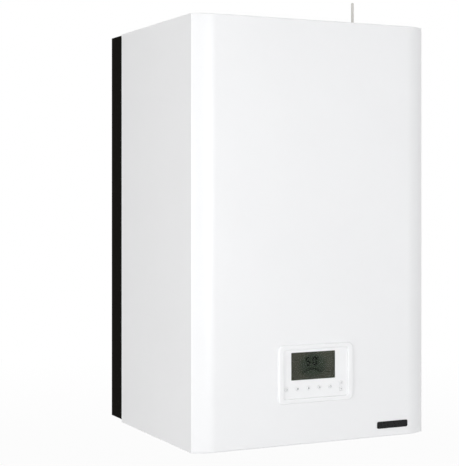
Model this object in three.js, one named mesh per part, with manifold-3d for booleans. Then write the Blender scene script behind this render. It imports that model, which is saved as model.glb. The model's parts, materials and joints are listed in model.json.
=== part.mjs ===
// A wall-hung electric combination boiler, as separate pieces.
// Millimetres: +X to the right, +Y into the wall, +Z up, origin at the centre of the flat back face.
import * as THREE from "three";
import { mergeVertices } from "three/addons/utils/BufferGeometryUtils.js";
import Module from "manifold-3d";

const wasm = await Module();
wasm.setup();

// ---- Driving dimensions ----

const height = 800;
const width = 500;
const depth = 430;
const gap = 0.3; // between pieces that touch
const past = 1; // how far a cutting shape runs past the face that it cuts

// How many flats make up a round: 16, or one of these. A bore and the bar in it have the same.
const hexagon = 6;
const slimSides = 10;
const smallSides = 12;
const mediumSides = 20;
const wideSides = 24;

// Casing
const sheet = 1.2;
const frameSheet = 1.5;
const frameDepth = 62; // black frame that shows behind the side panels
const frameLap = 12; // frame flange hidden inside the side panels
const frameBottomInset = 5;
const edgeAcross = 43; // the front's turned edge, measured across the front
const edgeSetback = 15; // and how far it turns back
const lipDepth = 12; // the cover's lips inside the side panels
const tongueDepth = 24; // the cover's tongues inside the top and bottom panels
const tongueInset = 12;
const panelFlange = 15;

// Wall bracket, in its pocket in the frame
const bracketBelowTop = 55;
const bracketLength = 380;
const bracketHeight = 40;
const bracketPlate = 3;
const pocketDepth = 10;
const pocketMargin = 8;
const hookSpacing = 260;
const hookWidth = 40;
const hookRise = 12;
const hookSideAir = 2;
const bracketSlotSpacing = 150;
const bracketSlotWidth = 7;
const bracketSlotLength = 18;
const bracketSlotCorner = 3.4;

// Cover screws
const screwSpacing = 300;
const screwRadius = 2;
const screwHeadRadius = 5;
const screwHeadHeight = 3;
const screwSlotWidth = 1.2;
const screwSlotDepth = 1.2;
const screwRise = 8;

// Control panel, on the cover
const panelX = 1;
const panelUp = 133; // centre, above the base
const bezelSide = 12; // the bezel's width beside the face, and above and below it
const bezelEnd = 9;
const panelCorner = 9;
const bezelProud = 3.5;
const bezelRound = 1.4;
const skirtWall = 2;
const skirtDepth = 12;
const faceWidth = 138;
const faceHeight = 92;
const faceCorner = 5;
const faceFront = -0.5; // the recessed face, from the cover's front
const faceSheet = 2;
const faceLedge = 1;
const windowFromRight = 26.7; // edge to edge, from the face's right edge and from its top
const windowFromTop = 5.6;
const windowWidth = 95;
const windowHeight = 52;
const windowCorner = 1;
const windowSheet = 1.6;
const lcdBorder = 3;
const lcdDepth = 5;
const boardSheet = 1.6;
const keyRadius = 3.8;
const keyCollar = 0.8;
const keyCollarSheet = 1;
const keyStemRadius = 1.5;
const keyProud = 0.8;
const keyTravel = 1;
const keyRowFromLeft = 6; // keys are placed from the face's edges
const keyRowFromBottom = 18.5;
const keyPitch = 23.65;
const keyRowCount = 5;
const keyPairFromRight = 14.1;
const keyPairFromBottom = 18;
const keyPairPitch = 11.3;

// Badge, left bare
const badgeX = 171.7;
const badgeUp = 22.8;
const badgeWidth = 69.5;
const badgeHeight = 13.6;
const badgeCorner = 1.8;
const badgeSheet = 1;

// Aerial
const aerialX = 202.6;
const aerialY = -230;
const aerialHeight = 72;
const aerialRadius = 2.8;
const aerialNutRadius = 9;
const aerialNutHeight = 6;
const aerialThreadRadius = 4;
const aerialThreadLength = 8;

// Water store and its insulation
const storeBaseUp = 305; // lowest point of the lower dome, above the base
const storeBelowTop = 55; // highest point of the upper dome, below the top
const storeDome = 35;
const storeWall = 2.5;
const jacketFoam = 25;
const jacketFloor = 17;
const jacketRoof = 20;
const jacketRearAir = 1;
const jacketFrontAir = 15.8;
const jacketHoleAir = 2;
const neckRadius = 48;
const neckWall = 3;
const flangeRadius = 60;
const flangeThickness = 6;
const portRadius = 12;
const portBore = 9;
const portInset = 20; // least room between a port and the store's side
const neckDrop = 2; // the neck's flange, below the shelf
const portDrop = 4; // the ports' ends, below the neck's
const dipTubeBelowTop = 75;
const shelfSheet = 2;
const shelfFlange = 16;
const shelfFoot = 32; // its two feet against the frame
const shelfSetback = 26; // its front edge, behind the jacket's front
const shelfHoleAir = 3;
const shelfSide = 5; // how far the shelf reaches past the jacket
const elementCount = 3;
const elementRadius = 4;
const elementRing = 24;
const elementSpread = 15;
const elementLength = 260;
const elementFlangeThickness = 8;
const terminalLength = 12;
const sensorPocketRadius = 5;
const sensorPocketLength = 130;
const ventBossRadius = 13;
const ventBossHeight = 6;
const ventBore = 5;
const ventRadius = 15;
const ventHeight = 28;
const ventNeckRadius = 5;
const ventNeckHeight = 8;
const ventFoot = 4;
const ventChamfer = 2;
const ventPassage = 3;
const ventCapRadius = 8;
const ventCapLap = 4; // how far the cap reaches down over the neck
const ventCapHeight = 7;
const ventCapRib = 2;

// Expansion vessel, flat in the frame
const vesselWidth = 380;
const vesselHeight = 400;
const vesselDepth = 46;
const vesselCorner = 60;
const vesselRound = 14;
const vesselWall = 1.5;
const vesselBelowTop = 95;
const vesselStub = 18;

// Plate heat exchanger
const exchangerThickness = 55;
const exchangerSideAir = 10;
const exchangerPortRise = 150;
const exchangerPortPitch = 45;
const exchangerMargin = 18;
const exchangerStub = 10;
const exchangerStubRadius = 12;
const exchangerPortDepth = 6;
const exchangerGrooves = 6;
const grooveDepth = 1.5;
const grooveWidth = 2;

// Pump
const pumpAir = 6.2; // between the pump and the hot water pipe
const pumpPortLength = 130;
const pumpNeckRadius = 16;
const pumpNutRadius = 20;
const pumpNutHeight = 10;
const voluteRadius = 38;
const voluteLength = 44;
const voluteWall = 5;
const motorRadius = 40;
const motorLength = 75;
const motorWall = 4;
const motorBoxWidth = 44;
const motorBoxBehind = 20;
const motorBoxInset = 6;
const motorBoxDrop = 10;
const rotorAir = 2;
const rotorRadius = 20;
const rotorLength = 52;
const shaftRadius = 5;
const impellerRadius = 28;
const impellerDisc = 3;
const impellerAir = 6; // between the impeller's disc and the motor
const impellerShaft = 12; // the shaft's run past the disc
const impellerVanes = 6;
const vaneHeight = 8;
const vaneThickness = 3;

// Diverter valve
const diverterDrop = 45; // its inlet face to its middle
const diverterRadius = 16;
const diverterTail = 24;
const diverterPortRadius = 13;
const diverterBack = 30;
const diverterFront = 26;
const diverterChamber = 11;
const diverterChamberWall = 3;
const diverterNutRadius = 16;
const diverterNutLength = 12;
const actuatorGrip = 20; // the stem's run inside the actuator
const plugRadius = 10;
const plugThickness = 4;
const stemRadius = 3;
const stemTravel = 8;
const actuatorWidth = 46;
const actuatorHeight = 60;
const actuatorDepth = 50;

// Pipes and the tails under the base
const mainRadius = 11;
const waterRadius = 7.5;
const pipeWall = 1;
const mainBend = 20;
const waterBend = 16;
const hotPipeLead = 2; // straight run from the exchanger before the bend
const tailPitch = 55;
const tailsBehindFrame = 48;
const tailDrop = 40;
const tailTop = 28;
const tailWall = 2.5;
const tailNutRadius = 17;
const tailNutHeight = 12;
const tailCollarDrop = 26; // the collar's lowest point, below the base
const tailCollarHeight = 8;
const tailCollarProud = 2;
const panelHoleAir = 2;
const hotRunUp = 200;
const coldRunUp = 170;
const coldRunForward = 40;
const sensorTop = 100;
const expansionUp = 170;
const expansionRadius = 5;
const expansionBoss = 16;

// Flow sensor
const sensorRadius = 14;
const sensorBore = 9;
const sensorHeadWidth = 16;
const sensorHeadHeight = 24;
const sensorHeadProud = 6;
const turbineRadius = 7.5;
const turbineLength = 14;
const turbineVanes = 4;
const turbineShaft = 1.5;
const turbineShaftProud = 3;
const spiderThickness = 3;
const spiderHalf = 1; // half an arm's width
const turbineVaneSheet = 1.2;

// Relief valve
const reliefUp = 70;
const reliefRadius = 14;
const reliefOutletRadius = 10;
const reliefOutletBore = 7;
const reliefRise = 20;
const reliefInletRadius = 9.5;
const reliefSeatRise = 4; // the bore's end, above the inlet's axis
const reliefStubLength = 25;
const knobRadius = 16;
const knobHeight = 16;
const knobGrips = 6;
const gripRadius = 3;
const gripSetback = 1; // the grips' axes, outside the knob
const spindleRadius = 4;
const spindleLength = 9;

// Filling valve
const fillUp = 125;
const fillBoss = 3;
const fillRadius = 7;
const fillBore = 5;
const fillBallRadius = 10;
const fillNeckRadius = 5;
const fillNeckLength = 12;
const leverLength = 34;
const leverWidth = 9;
const leverThickness = 3;
const leverHubRadius = 7;

// Pressure gauge, read from below
const gaugeX = 190;
const gaugeFromFront = 100;
const gaugeRadius = 20;
const gaugeRim = 2;
const gaugeRimHeight = 4;
const gaugeRise = 24;
const gaugeStemRadius = 4;
const gaugeStemRise = 9;
const dialRadius = 17;
const dialRecess = 5;
const needleLength = 13;
const needleTail = 4;
const needleWidth = 1.6;
const needleThickness = 1;
const hubRadius = 2.5;
const needleRest = (5 / 6) * Math.PI; // its direction at no pressure, round the dial from +X

// Electrical tray, open to the front
const trayRight = -70;
const traySideAir = 13.8;
const trayTop = 250;
const trayFrontAir = 45;
const trayDepth = 90;
const standoff = 8;
const standoffRadius = 4;
const standoffInset = 8; // from the board's edges
const boardMargin = 12;
const boardBase = 110;
const relayWidth = 22;
const relayHeight = 30;
const relayDepth = 18;
const relayCount = 3;
const connectorHeight = 10;
const connectorDepth = 12;
const connectorSideAir = 10;
const connectorTopAir = 4;
const relayRise = 14;
const capacitorRadius = 9;
const capacitorLength = 24;
const capacitorIn = 24;
const capacitorDrop = 34;
const chipWidth = 24;
const chipHeight = 20;
const chipDepth = 3;
const chipIn = 26;
const chipDrop = 24;
const terminalUp = 40;
const terminalHeight = 24;
const terminalDepth = 28;
const terminalWays = 6;
const terminalScrewRadius = 2.5;
const terminalScrewDepth = 9;
const terminalRib = 1.6;
const terminalRibProud = 3;
const statUp = 88;
const statWidth = 34;
const statHeight = 26;
const statDepth = 20;
const resetRadius = 4;
const resetTravel = 2;
const resetProud = 3;
const resetBody = 8;
const resetBush = 3; // how far the bush stands proud, and its wall

// Cable gland, under the tray
const glandFromTrayFront = 65;
const glandX = -110;
const glandRadius = 10;
const glandBore = 6;
const glandNutRadius = 14;
const glandNutHeight = 8;
const glandDomeRadius = 12;
const glandLockHeight = 4;
const glandDrop = 16;
const glandRise = 14;

// ---- Places worked out from the sizes above ----

const base = -height / 2;
const top = height / 2;
const up = (rise) => base + rise;
const seam = -(depth - edgeSetback); // where the cover meets the side panels
const edgeRadius = (edgeAcross ** 2 + edgeSetback ** 2) / (2 * edgeSetback);
const edgeAngle = 2 * Math.atan(edgeSetback / edgeAcross);
const insideX = width / 2 - sheet - gap; // what fits between the side panels
const frameTop = top - sheet - gap;
const frameBase = up(frameBottomInset);
const frameFront = -(frameDepth + frameLap);
const bracketZ = top - bracketBelowTop;

const jacketRadius = (depth - sheet - jacketFrontAir - frameDepth - jacketRearAir) / 2;
const storeRadius = jacketRadius - jacketFoam;
const storeY = -(frameDepth + jacketRearAir + jacketRadius);
const storeBase = up(storeBaseUp);
const storeTop = top - storeBelowTop;
const jacketBase = storeBase - jacketFloor;
const jacketTop = storeTop + jacketRoof;
const shelfTop = jacketBase - gap;
const shelfBase = shelfTop - shelfSheet;
const neckEnd = shelfBase - flangeThickness - neckDrop;
const portEnd = neckEnd - portDrop;

const exchangerLeft = width / 2 - sheet - exchangerSideAir - exchangerThickness;
const exchangerMeet = exchangerLeft - exchangerStub;
const hotPipeX = exchangerMeet - gap - waterBend - hotPipeLead;
// The pump is as far right as the hot water pipe beside it and the store above it allow.
const besidePipe = hotPipeX - waterRadius - pumpAir - voluteRadius;
const underStore = storeRadius - portRadius - portInset;
const pumpX = Math.min(besidePipe, underStore);
const pumpTop = portEnd - gap;
const pumpZ = pumpTop - pumpPortLength / 2;
const pumpBase = pumpTop - pumpPortLength;
const diverterZ = pumpBase - gap - diverterDrop;
const upperPortZ = diverterZ + exchangerPortRise;
const rearPortY = storeY + exchangerPortPitch;
const returnPortX = -pumpX;

const tailY = -(frameDepth + tailsBehindFrame);
const tailX = (place) => pumpX - place * tailPitch;
const flowX = tailX(0);
const hotX = tailX(1);
const coldX = tailX(2);
const returnX = tailX(3);
const reliefX = tailX(4);
const vesselY = -(frameSheet + gap + vesselDepth / 2);
const screwY = seam + lipDepth;
const aerialHole = aerialThreadRadius + gap;
const trayLeft = -(width / 2 - sheet - traySideAir);
const trayFront = -(depth - trayFrontAir);
const trayBack = trayFront + trayDepth;
const trayBase = up(sheet + gap);
const gaugeY = gaugeFromFront - depth;
const glandY = trayFront + glandFromTrayFront;

const panelWidth = faceWidth + 2 * bezelSide;
const panelHeight = faceHeight + 2 * bezelEnd;
const windowX = (faceWidth - windowWidth) / 2 - windowFromRight;
const windowZ = (faceHeight - windowHeight) / 2 - windowFromTop;
const keyRowX = keyRowFromLeft - faceWidth / 2;
const keyRowZ = keyRowFromBottom - faceHeight / 2;
const keyPairX = faceWidth / 2 - keyPairFromRight;
const keyPairZ = keyPairFromBottom - faceHeight / 2;

// ---- Finishes ----

const finish = (color, roughness, metalness) =>
  new THREE.MeshStandardMaterial({ color, roughness, metalness });

const whitePaint = finish(0xf4f5f6, 0.45, 0);
const greyPaint = finish(0xe4e6e8, 0.5, 0);
const blackPaint = finish(0x16181a, 0.6, 0);
const zinc = finish(0xb4b8bb, 0.45, 0.9);
const steel = finish(0xa8abae, 0.4, 0.9);
const brass = finish(0xc2a05a, 0.35, 0.9);
const copper = finish(0xb87350, 0.35, 0.9);
const iron = finish(0x7d2a26, 0.55, 0.1);
const foam = finish(0x3a3c40, 0.95, 0);
const redPaint = finish(0xa92c26, 0.5, 0);
const whitePlastic = finish(0xf6f7f8, 0.35, 0);
const blackPlastic = finish(0x1b1d1e, 0.4, 0);
const redPlastic = finish(0xb3241f, 0.45, 0);
const bluePlastic = finish(0x2456a0, 0.45, 0);
const aerialPlastic = finish(0xccc8bf, 0.5, 0);
const clear = finish(0x4b5048, 0.1, 0);
const lcdGreen = finish(0x3a4036, 0.3, 0);
const boardGreen = finish(0x1f5a38, 0.5, 0);
const black = finish(0x101213, 0.35, 0);

// ---- Solids ----

// A closed geometry as a solid, whichever way its faces turn.
function solid(geometry) {
  const bare = new THREE.BufferGeometry();
  bare.setAttribute("position", geometry.getAttribute("position"));
  bare.setIndex(geometry.index);
  const merged = mergeVertices(bare, 1e-4);
  const corners = merged.index.array;
  const triangles = [];
  for (let i = 0; i < corners.length; i += 3) {
    const [a, b, c] = corners.slice(i, i + 3);
    if (a !== b && b !== c && c !== a) triangles.push(a, b, c);
  }
  const build = (order) =>
    new wasm.Manifold(
      new wasm.Mesh({
        numProp: 3,
        vertProperties: merged.getAttribute("position").array,
        triVerts: new Uint32Array(order),
      }),
    );
  const made = build(triangles);
  return made.volume() > 0 ? made : build(triangles.reverse());
}

const join = (...solids) => solids.reduce((all, one) => all.add(one));
const cut = (body, ...tools) => tools.reduce((left, tool) => left.subtract(tool), body);

// A block between two limits on each axis, given in either order.
function block([x0, x1], [y0, y1], [z0, z1]) {
  const shape = new THREE.BoxGeometry(Math.abs(x1 - x0), Math.abs(y1 - y0), Math.abs(z1 - z0));
  shape.translate((x0 + x1) / 2, (y0 + y1) / 2, (z0 + z1) / 2);
  return solid(shape);
}

// Turns a shape made along +Z so that it runs along another axis.
function aim(geometry, axis) {
  if (axis === "x") geometry.rotateY(Math.PI / 2);
  if (axis === "y") geometry.rotateX(-Math.PI / 2);
  return geometry;
}

// A round bar that starts at a point and runs a length, which may be negative, along an axis.
function bar(axis, [x, y, z], radius, length, sides = 16) {
  const shape = new THREE.CylinderGeometry(radius, radius, Math.abs(length), sides);
  shape.rotateX(Math.PI / 2);
  shape.translate(0, 0, length / 2);
  return solid(aim(shape, axis).translate(x, y, z));
}

// The same for an outline of [radius, distance] points that is turned round the axis.
function turned(axis, [x, y, z], outline, sides = 16) {
  const points = outline.map(([radius, along]) => new THREE.Vector2(radius, along));
  const shape = new THREE.LatheGeometry([...points, points[0]], sides);
  shape.rotateX(Math.PI / 2);
  return solid(aim(shape, axis).translate(x, y, z));
}

function roundedRectangle(wide, high, corner, centreX = 0, centreY = 0) {
  const [x, y] = [centreX - wide / 2, centreY - high / 2];
  const shape = new THREE.Shape();
  shape.moveTo(x + corner, y);
  shape.lineTo(x + wide - corner, y);
  shape.absarc(x + wide - corner, y + corner, corner, -Math.PI / 2, 0);
  shape.lineTo(x + wide, y + high - corner);
  shape.absarc(x + wide - corner, y + high - corner, corner, 0, Math.PI / 2);
  shape.lineTo(x + corner, y + high);
  shape.absarc(x + corner, y + high - corner, corner, Math.PI / 2, Math.PI);
  shape.lineTo(x, y + corner);
  shape.absarc(x + corner, y + corner, corner, Math.PI, 1.5 * Math.PI);
  return shape;
}

// An outline in plan, between two heights.
function prism(outline, low, high, curveSegments = 6) {
  const shape = new THREE.ExtrudeGeometry(outline, {
    depth: high - low,
    bevelEnabled: false,
    curveSegments,
  });
  return solid(shape.translate(0, 0, low));
}

// An outline drawn as seen from the front, between two depths, with its front and back edges rounded.
function slab(outline, front, back, round = 0, curveSegments = 3) {
  const shape = new THREE.ExtrudeGeometry(outline, {
    depth: back - front - 2 * round,
    bevelEnabled: round > 0,
    bevelThickness: round,
    bevelSize: round,
    bevelOffset: -round,
    bevelSegments: 2,
    curveSegments,
  });
  shape.rotateX(Math.PI / 2);
  return solid(shape.translate(0, back - round, 0));
}

// Straight runs between corners with a round bend at each, as a curve that steps from place to place.
class PipeRoute extends THREE.Curve {
  constructor(corners, bendRadius, bendSteps = 3) {
    super();
    const points = corners.map((corner) => new THREE.Vector3(...corner));
    const last = points.length - 1;
    const heading = (i) => points[i + 1].clone().sub(points[i]).normalize();
    this.places = [{ point: points[0], tangent: heading(0) }];
    for (let i = 1; i < last; i += 1) {
      const before = heading(i - 1);
      const after = heading(i);
      const turn = before.angleTo(after);
      const inward = after.clone().addScaledVector(before, -Math.cos(turn)).normalize();
      const start = points[i].clone().addScaledVector(before, -bendRadius * Math.tan(turn / 2));
      for (let step = 0; step <= bendSteps; step += 1) {
        const angle = (turn * step) / bendSteps;
        const point = start
          .clone()
          .addScaledVector(before, bendRadius * Math.sin(angle))
          .addScaledVector(inward, bendRadius * (1 - Math.cos(angle)));
        const tangent = before
          .clone()
          .multiplyScalar(Math.cos(angle))
          .addScaledVector(inward, Math.sin(angle));
        this.places.push({ point, tangent });
      }
    }
    this.places.push({ point: points[last], tangent: heading(last - 1) });
  }

  place(along) {
    return this.places[Math.round(along * (this.places.length - 1))];
  }

  getPointAt(along, target = new THREE.Vector3()) {
    return target.copy(this.place(along).point);
  }

  getTangentAt(along, target = new THREE.Vector3()) {
    return target.copy(this.place(along).tangent);
  }
}

function sweep(corners, radius, bendRadius, sides = 8) {
  const route = new PipeRoute(corners, bendRadius);
  const ring = new THREE.Shape();
  ring.absarc(0, 0, radius, 0, 2 * Math.PI);
  const shape = new THREE.ExtrudeGeometry(ring, {
    steps: route.places.length - 1,
    extrudePath: route,
    curveSegments: sides / 2,
  });
  return solid(shape);
}

// The corners of a route with its two ends moved out along it.
function lengthened(corners, extra) {
  const points = corners.map((corner) => new THREE.Vector3(...corner));
  const last = points.length - 1;
  const outward = (end, next) => points[end].clone().sub(points[next]).setLength(extra);
  const first = points[0].clone().add(outward(0, 1));
  points[last].add(outward(last, last - 1));
  points[0] = first;
  return points.map((point) => point.toArray());
}

// Hollow pipes that run into each other: each has its corners, outer radius and bend radius.
function pipework(...pipes) {
  const skins = pipes.map(({ corners, radius, bend }) => sweep(corners, radius, bend));
  const bores = pipes.map(({ corners, radius, bend }) =>
    sweep(lengthened(corners, past), radius - pipeWall, bend),
  );
  return cut(join(...skins), ...bores);
}

// ---- Assembly ----

const boiler = new THREE.Group();

function piece(name, body, look, parent = boiler) {
  const { vertProperties, triVerts } = body.getMesh();
  const geometry = new THREE.BufferGeometry();
  geometry.setAttribute("position", new THREE.BufferAttribute(vertProperties, 3));
  geometry.setIndex(new THREE.BufferAttribute(triVerts, 1));
  geometry.computeVertexNormals();
  const mesh = new THREE.Mesh(geometry, look);
  mesh.name = name;
  parent.add(mesh);
  return mesh;
}

function groupAt(x, y, z, parent = boiler) {
  const group = new THREE.Group();
  group.position.set(x, y, z);
  parent.add(group);
  return group;
}

// ---- Casing ----

const hookZ = bracketZ + bracketHeight / 2; // underside of the hooks
const hookTop = hookZ + bracketPlate;

function rearFrame() {
  const outer = block([-insideX, insideX], [0, frameFront], [frameBase, frameTop]);
  const inner = block(
    [-insideX + frameSheet, insideX - frameSheet],
    [-frameSheet, frameFront - past],
    [frameBase + frameSheet, frameTop - frameSheet],
  );
  const pocketX = bracketLength / 2 + pocketMargin;
  const pocketLow = bracketZ - bracketHeight / 2 - pocketMargin;
  const pocketHigh = hookTop + pocketMargin;
  const pocket = block(
    [-pocketX - frameSheet, pocketX + frameSheet],
    [0, -pocketDepth - frameSheet],
    [pocketLow - frameSheet, pocketHigh + frameSheet],
  );
  const hollow = block([-pocketX, pocketX], [past, -pocketDepth], [pocketLow, pocketHigh]);
  const slots = [-1, 1].map((side) =>
    block(
      [
        (side * hookSpacing - hookWidth) / 2 - hookSideAir,
        (side * hookSpacing + hookWidth) / 2 + hookSideAir,
      ],
      [-pocketDepth + past, -pocketDepth - frameSheet - past],
      [hookTop + gap - hookRise - 2 * bracketPlate, hookTop + gap],
    ),
  );
  piece("rear_frame", cut(join(cut(outer, inner), pocket), hollow, ...slots), blackPaint);
}

function wallBracket() {
  const strip = block(
    [-bracketLength / 2, bracketLength / 2],
    [0, -bracketPlate],
    [bracketZ - bracketHeight / 2, hookTop],
  );
  const hookBack = -(pocketDepth + frameSheet + gap);
  const hooks = [-1, 1].map((side) => {
    const sides = [(side * hookSpacing - hookWidth) / 2, (side * hookSpacing + hookWidth) / 2];
    return join(
      block(sides, [-bracketPlate + past, hookBack - bracketPlate], [hookZ, hookTop]),
      block(sides, [hookBack, hookBack - bracketPlate], [hookZ, hookTop + hookRise]),
    );
  });
  const slots = [-1, 0, 1].map((place) => {
    const outline = roundedRectangle(
      bracketSlotLength,
      bracketSlotWidth,
      bracketSlotCorner,
      place * bracketSlotSpacing,
      bracketZ,
    );
    return slab(outline, -bracketPlate - past, past);
  });
  piece("wall_bracket", cut(join(strip, ...hooks), ...slots), zinc);
}

function sidePanels() {
  for (const [name, side] of [["left", -1], ["right", 1]]) {
    const panel = block(
      [(side * width) / 2, side * (width / 2 - sheet)],
      [seam + gap, -frameDepth],
      [base, top],
    );
    piece(`side_panel_${name}`, panel, greyPaint);
  }
}

// The flat top or bottom between the side panels, with its two edges turned inwards.
function endPanel(outside, inward) {
  const plate = block([-insideX, insideX], [seam + gap, -frameDepth], [outside, outside + inward * sheet]);
  const flanges = [-1, 1].map((side) =>
    block(
      [side * insideX, side * (insideX - sheet)],
      [seam + lipDepth + gap, frameFront - gap],
      [outside, outside + inward * panelFlange],
    ),
  );
  return join(plate, ...flanges);
}

function topPanel() {
  const hole = bar("z", [aerialX, aerialY, top - 2 * sheet], aerialHole, 4 * sheet);
  piece("top_panel", cut(endPanel(top, -1), hole), greyPaint);
}

function bottomPanel() {
  const hole = (x, y, radius) => bar("z", [x, y, base - past], radius, sheet + 2 * past);
  const tails = [flowX, hotX, coldX, returnX].map((x) =>
    hole(x, tailY, (x === flowX || x === returnX ? mainRadius : waterRadius) + tailWall + panelHoleAir),
  );
  const others = [
    hole(reliefX, tailY, reliefOutletRadius + panelHoleAir),
    hole(glandX, glandY, glandRadius + gap),
    hole(gaugeX, gaugeY, gaugeRadius + gap),
    hole(-screwSpacing / 2, screwY, screwRadius + gap),
    hole(screwSpacing / 2, screwY, screwRadius + gap),
  ];
  piece("bottom_panel", cut(endPanel(base, 1), ...tails, ...others), greyPaint);
}

// The front's outline in plan, drawn a distance inside its outer face.
function frontOutline(inset) {
  const arcX = width / 2 - edgeAcross;
  const arcY = edgeRadius - depth;
  const radius = edgeRadius - inset;
  const down = -Math.PI / 2;
  const shape = new THREE.Shape();
  shape.absarc(-arcX, arcY, radius, down - edgeAngle, down);
  shape.lineTo(arcX, inset - depth);
  shape.absarc(arcX, arcY, radius, down, down + edgeAngle);
  return shape;
}

function frontCover(cover) {
  const lipX = insideX - sheet;
  const behind = seam - sheet;
  const skin = prism(frontOutline(0), base, top);
  const hollow = prism(frontOutline(sheet), base + sheet, top - sheet).intersect(
    block([-width, width], [-2 * depth, behind], [-height, height]),
  );
  const mouth = block([-lipX, lipX], [behind - past, seam + past], [base + sheet, top - sheet]);
  const shell = cut(skin, hollow, mouth);
  const lips = [-1, 1].map((side) =>
    block([side * lipX, side * insideX], [behind, seam + lipDepth], [base + sheet + gap, top - sheet - gap]),
  );
  const tongueX = lipX - tongueInset;
  const tongues = [base, top].map((end) => {
    const inward = -Math.sign(end);
    const outer = end + inward * (sheet + gap);
    return join(
      block([-tongueX, tongueX], [behind, seam], [end, outer + inward * sheet]),
      block([-tongueX, tongueX], [behind, seam + tongueDepth], [outer, outer + inward * sheet]),
    );
  });
  const slots = [-1, 1].map((side) => {
    const x = (side * screwSpacing) / 2;
    const half = screwRadius + gap;
    const round = bar("z", [x, screwY, base + sheet], half, 3 * sheet, smallSides);
    return join(
      round,
      block([x - half, x + half], [screwY, seam + tongueDepth + past], [base + sheet, base + 4 * sheet]),
    );
  });
  const skirtWide = faceWidth + 2 * (skirtWall + gap);
  const skirtHigh = faceHeight + 2 * (skirtWall + gap);
  const panelOpening = slab(
    roundedRectangle(skirtWide, skirtHigh, faceCorner + skirtWall, panelX, up(panelUp)),
    -depth - past,
    -depth + 2 * sheet,
  );
  piece("front_cover", cut(join(shell, ...lips, ...tongues), ...slots, panelOpening), whitePaint, cover);
}

function coverScrews() {
  for (const [name, side] of [["left", -1], ["right", 1]]) {
    const place = groupAt((side * screwSpacing) / 2, screwY, base);
    const head = bar("z", [0, 0, -gap], screwHeadRadius, -screwHeadHeight);
    const shank = bar("z", [0, 0, -gap - past], screwRadius, screwRise + gap + past, smallSides);
    const slot = block(
      [-screwHeadRadius, screwHeadRadius],
      [-screwSlotWidth / 2, screwSlotWidth / 2],
      [-gap - screwHeadHeight - past, -gap - screwHeadHeight + screwSlotDepth],
    );
    piece(`cover_screw_${name}`, cut(join(head, shank), slot), zinc, place);
  }
}

// ---- Control panel and badge, on the cover ----

const faceBack = faceFront + faceSheet;
const boardFront = faceBack + gap + lcdDepth;

function bezel(panel) {
  const front = -gap - bezelProud;
  const rim = slab(roundedRectangle(panelWidth, panelHeight, panelCorner), front, bezelRound, bezelRound, 4);
  const trimmed = cut(
    rim,
    block([-panelWidth, panelWidth], [-gap, 2 * bezelProud], [-panelHeight, panelHeight]),
  );
  const skirt = slab(
    roundedRectangle(faceWidth + 2 * skirtWall, faceHeight + 2 * skirtWall, faceCorner + skirtWall),
    -gap - past,
    skirtDepth,
  );
  const opening = slab(
    roundedRectangle(faceWidth, faceHeight, faceCorner),
    front - past,
    faceBack + gap,
  );
  const through = slab(
    roundedRectangle(faceWidth - 2 * faceLedge, faceHeight - 2 * faceLedge, faceCorner - faceLedge),
    faceBack,
    skirtDepth + past,
  );
  piece("panel_bezel", cut(join(trimmed, skirt), opening, through), whitePlastic, panel);
}

function keyPlaces() {
  const row = Array.from({ length: keyRowCount }, (_, i) => [
    `button_${i + 1}`,
    keyRowX + i * keyPitch,
    keyRowZ,
  ]);
  const pair = [
    ["button_up", keyPairX, keyPairZ + keyPairPitch / 2],
    ["button_down", keyPairX, keyPairZ - keyPairPitch / 2],
  ];
  return [...row, ...pair];
}

function face(panel) {
  const plate = slab(
    roundedRectangle(faceWidth - 2 * gap, faceHeight - 2 * gap, faceCorner - gap),
    faceFront,
    faceBack,
  );
  const opening = slab(
    roundedRectangle(windowWidth, windowHeight, windowCorner, windowX, windowZ),
    faceFront - past,
    faceBack + past,
    0,
    2,
  );
  const holes = keyPlaces().map(([, x, z]) =>
    bar("y", [x, faceFront - past, z], keyRadius + gap, faceSheet + 2 * past),
  );
  piece("panel_face", cut(plate, opening, ...holes), whitePlastic, panel);
}

function display(panel) {
  const glass = roundedRectangle(
    windowWidth - 2 * gap,
    windowHeight - 2 * gap,
    windowCorner - gap,
    windowX,
    windowZ,
  );
  piece("display_window", slab(glass, faceBack - windowSheet, faceBack, 0, 2), clear, panel);
  const module = block(
    [windowX - windowWidth / 2 - lcdBorder, windowX + windowWidth / 2 + lcdBorder],
    [faceBack + gap, boardFront + boardSheet / 2],
    [windowZ - windowHeight / 2 - lcdBorder, windowZ + windowHeight / 2 + lcdBorder],
  );
  const board = roundedRectangle(
    faceWidth - 2 * faceLedge - 2 * gap,
    faceHeight - 2 * faceLedge - 2 * gap,
    faceCorner - faceLedge - gap,
  );
  piece("display_lcd", join(module, slab(board, boardFront, boardFront + boardSheet, 0, 2)), lcdGreen, panel);
}

function keys(panel) {
  for (const [name, x, z] of keyPlaces()) {
    const place = groupAt(x, 0, z, panel);
    const front = faceFront - keyProud;
    const collarFront = faceBack + gap;
    const cap = bar("y", [0, front, 0], keyRadius, collarFront + keyCollarSheet - front);
    const collar = bar("y", [0, collarFront, 0], keyRadius + keyCollar, keyCollarSheet);
    const stem = bar("y", [0, 0, 0], keyStemRadius, boardFront - keyTravel - gap, slimSides);
    piece(name, join(cap, collar, stem), whitePlastic, place);
  }
}

function badge(cover) {
  const place = groupAt(badgeX, -depth, up(badgeUp), cover);
  const plate = slab(
    roundedRectangle(badgeWidth, badgeHeight, badgeCorner),
    -gap - badgeSheet,
    -gap,
    badgeSheet / 3,
    2,
  );
  piece("badge_plate", plate, black, place);
}

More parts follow.
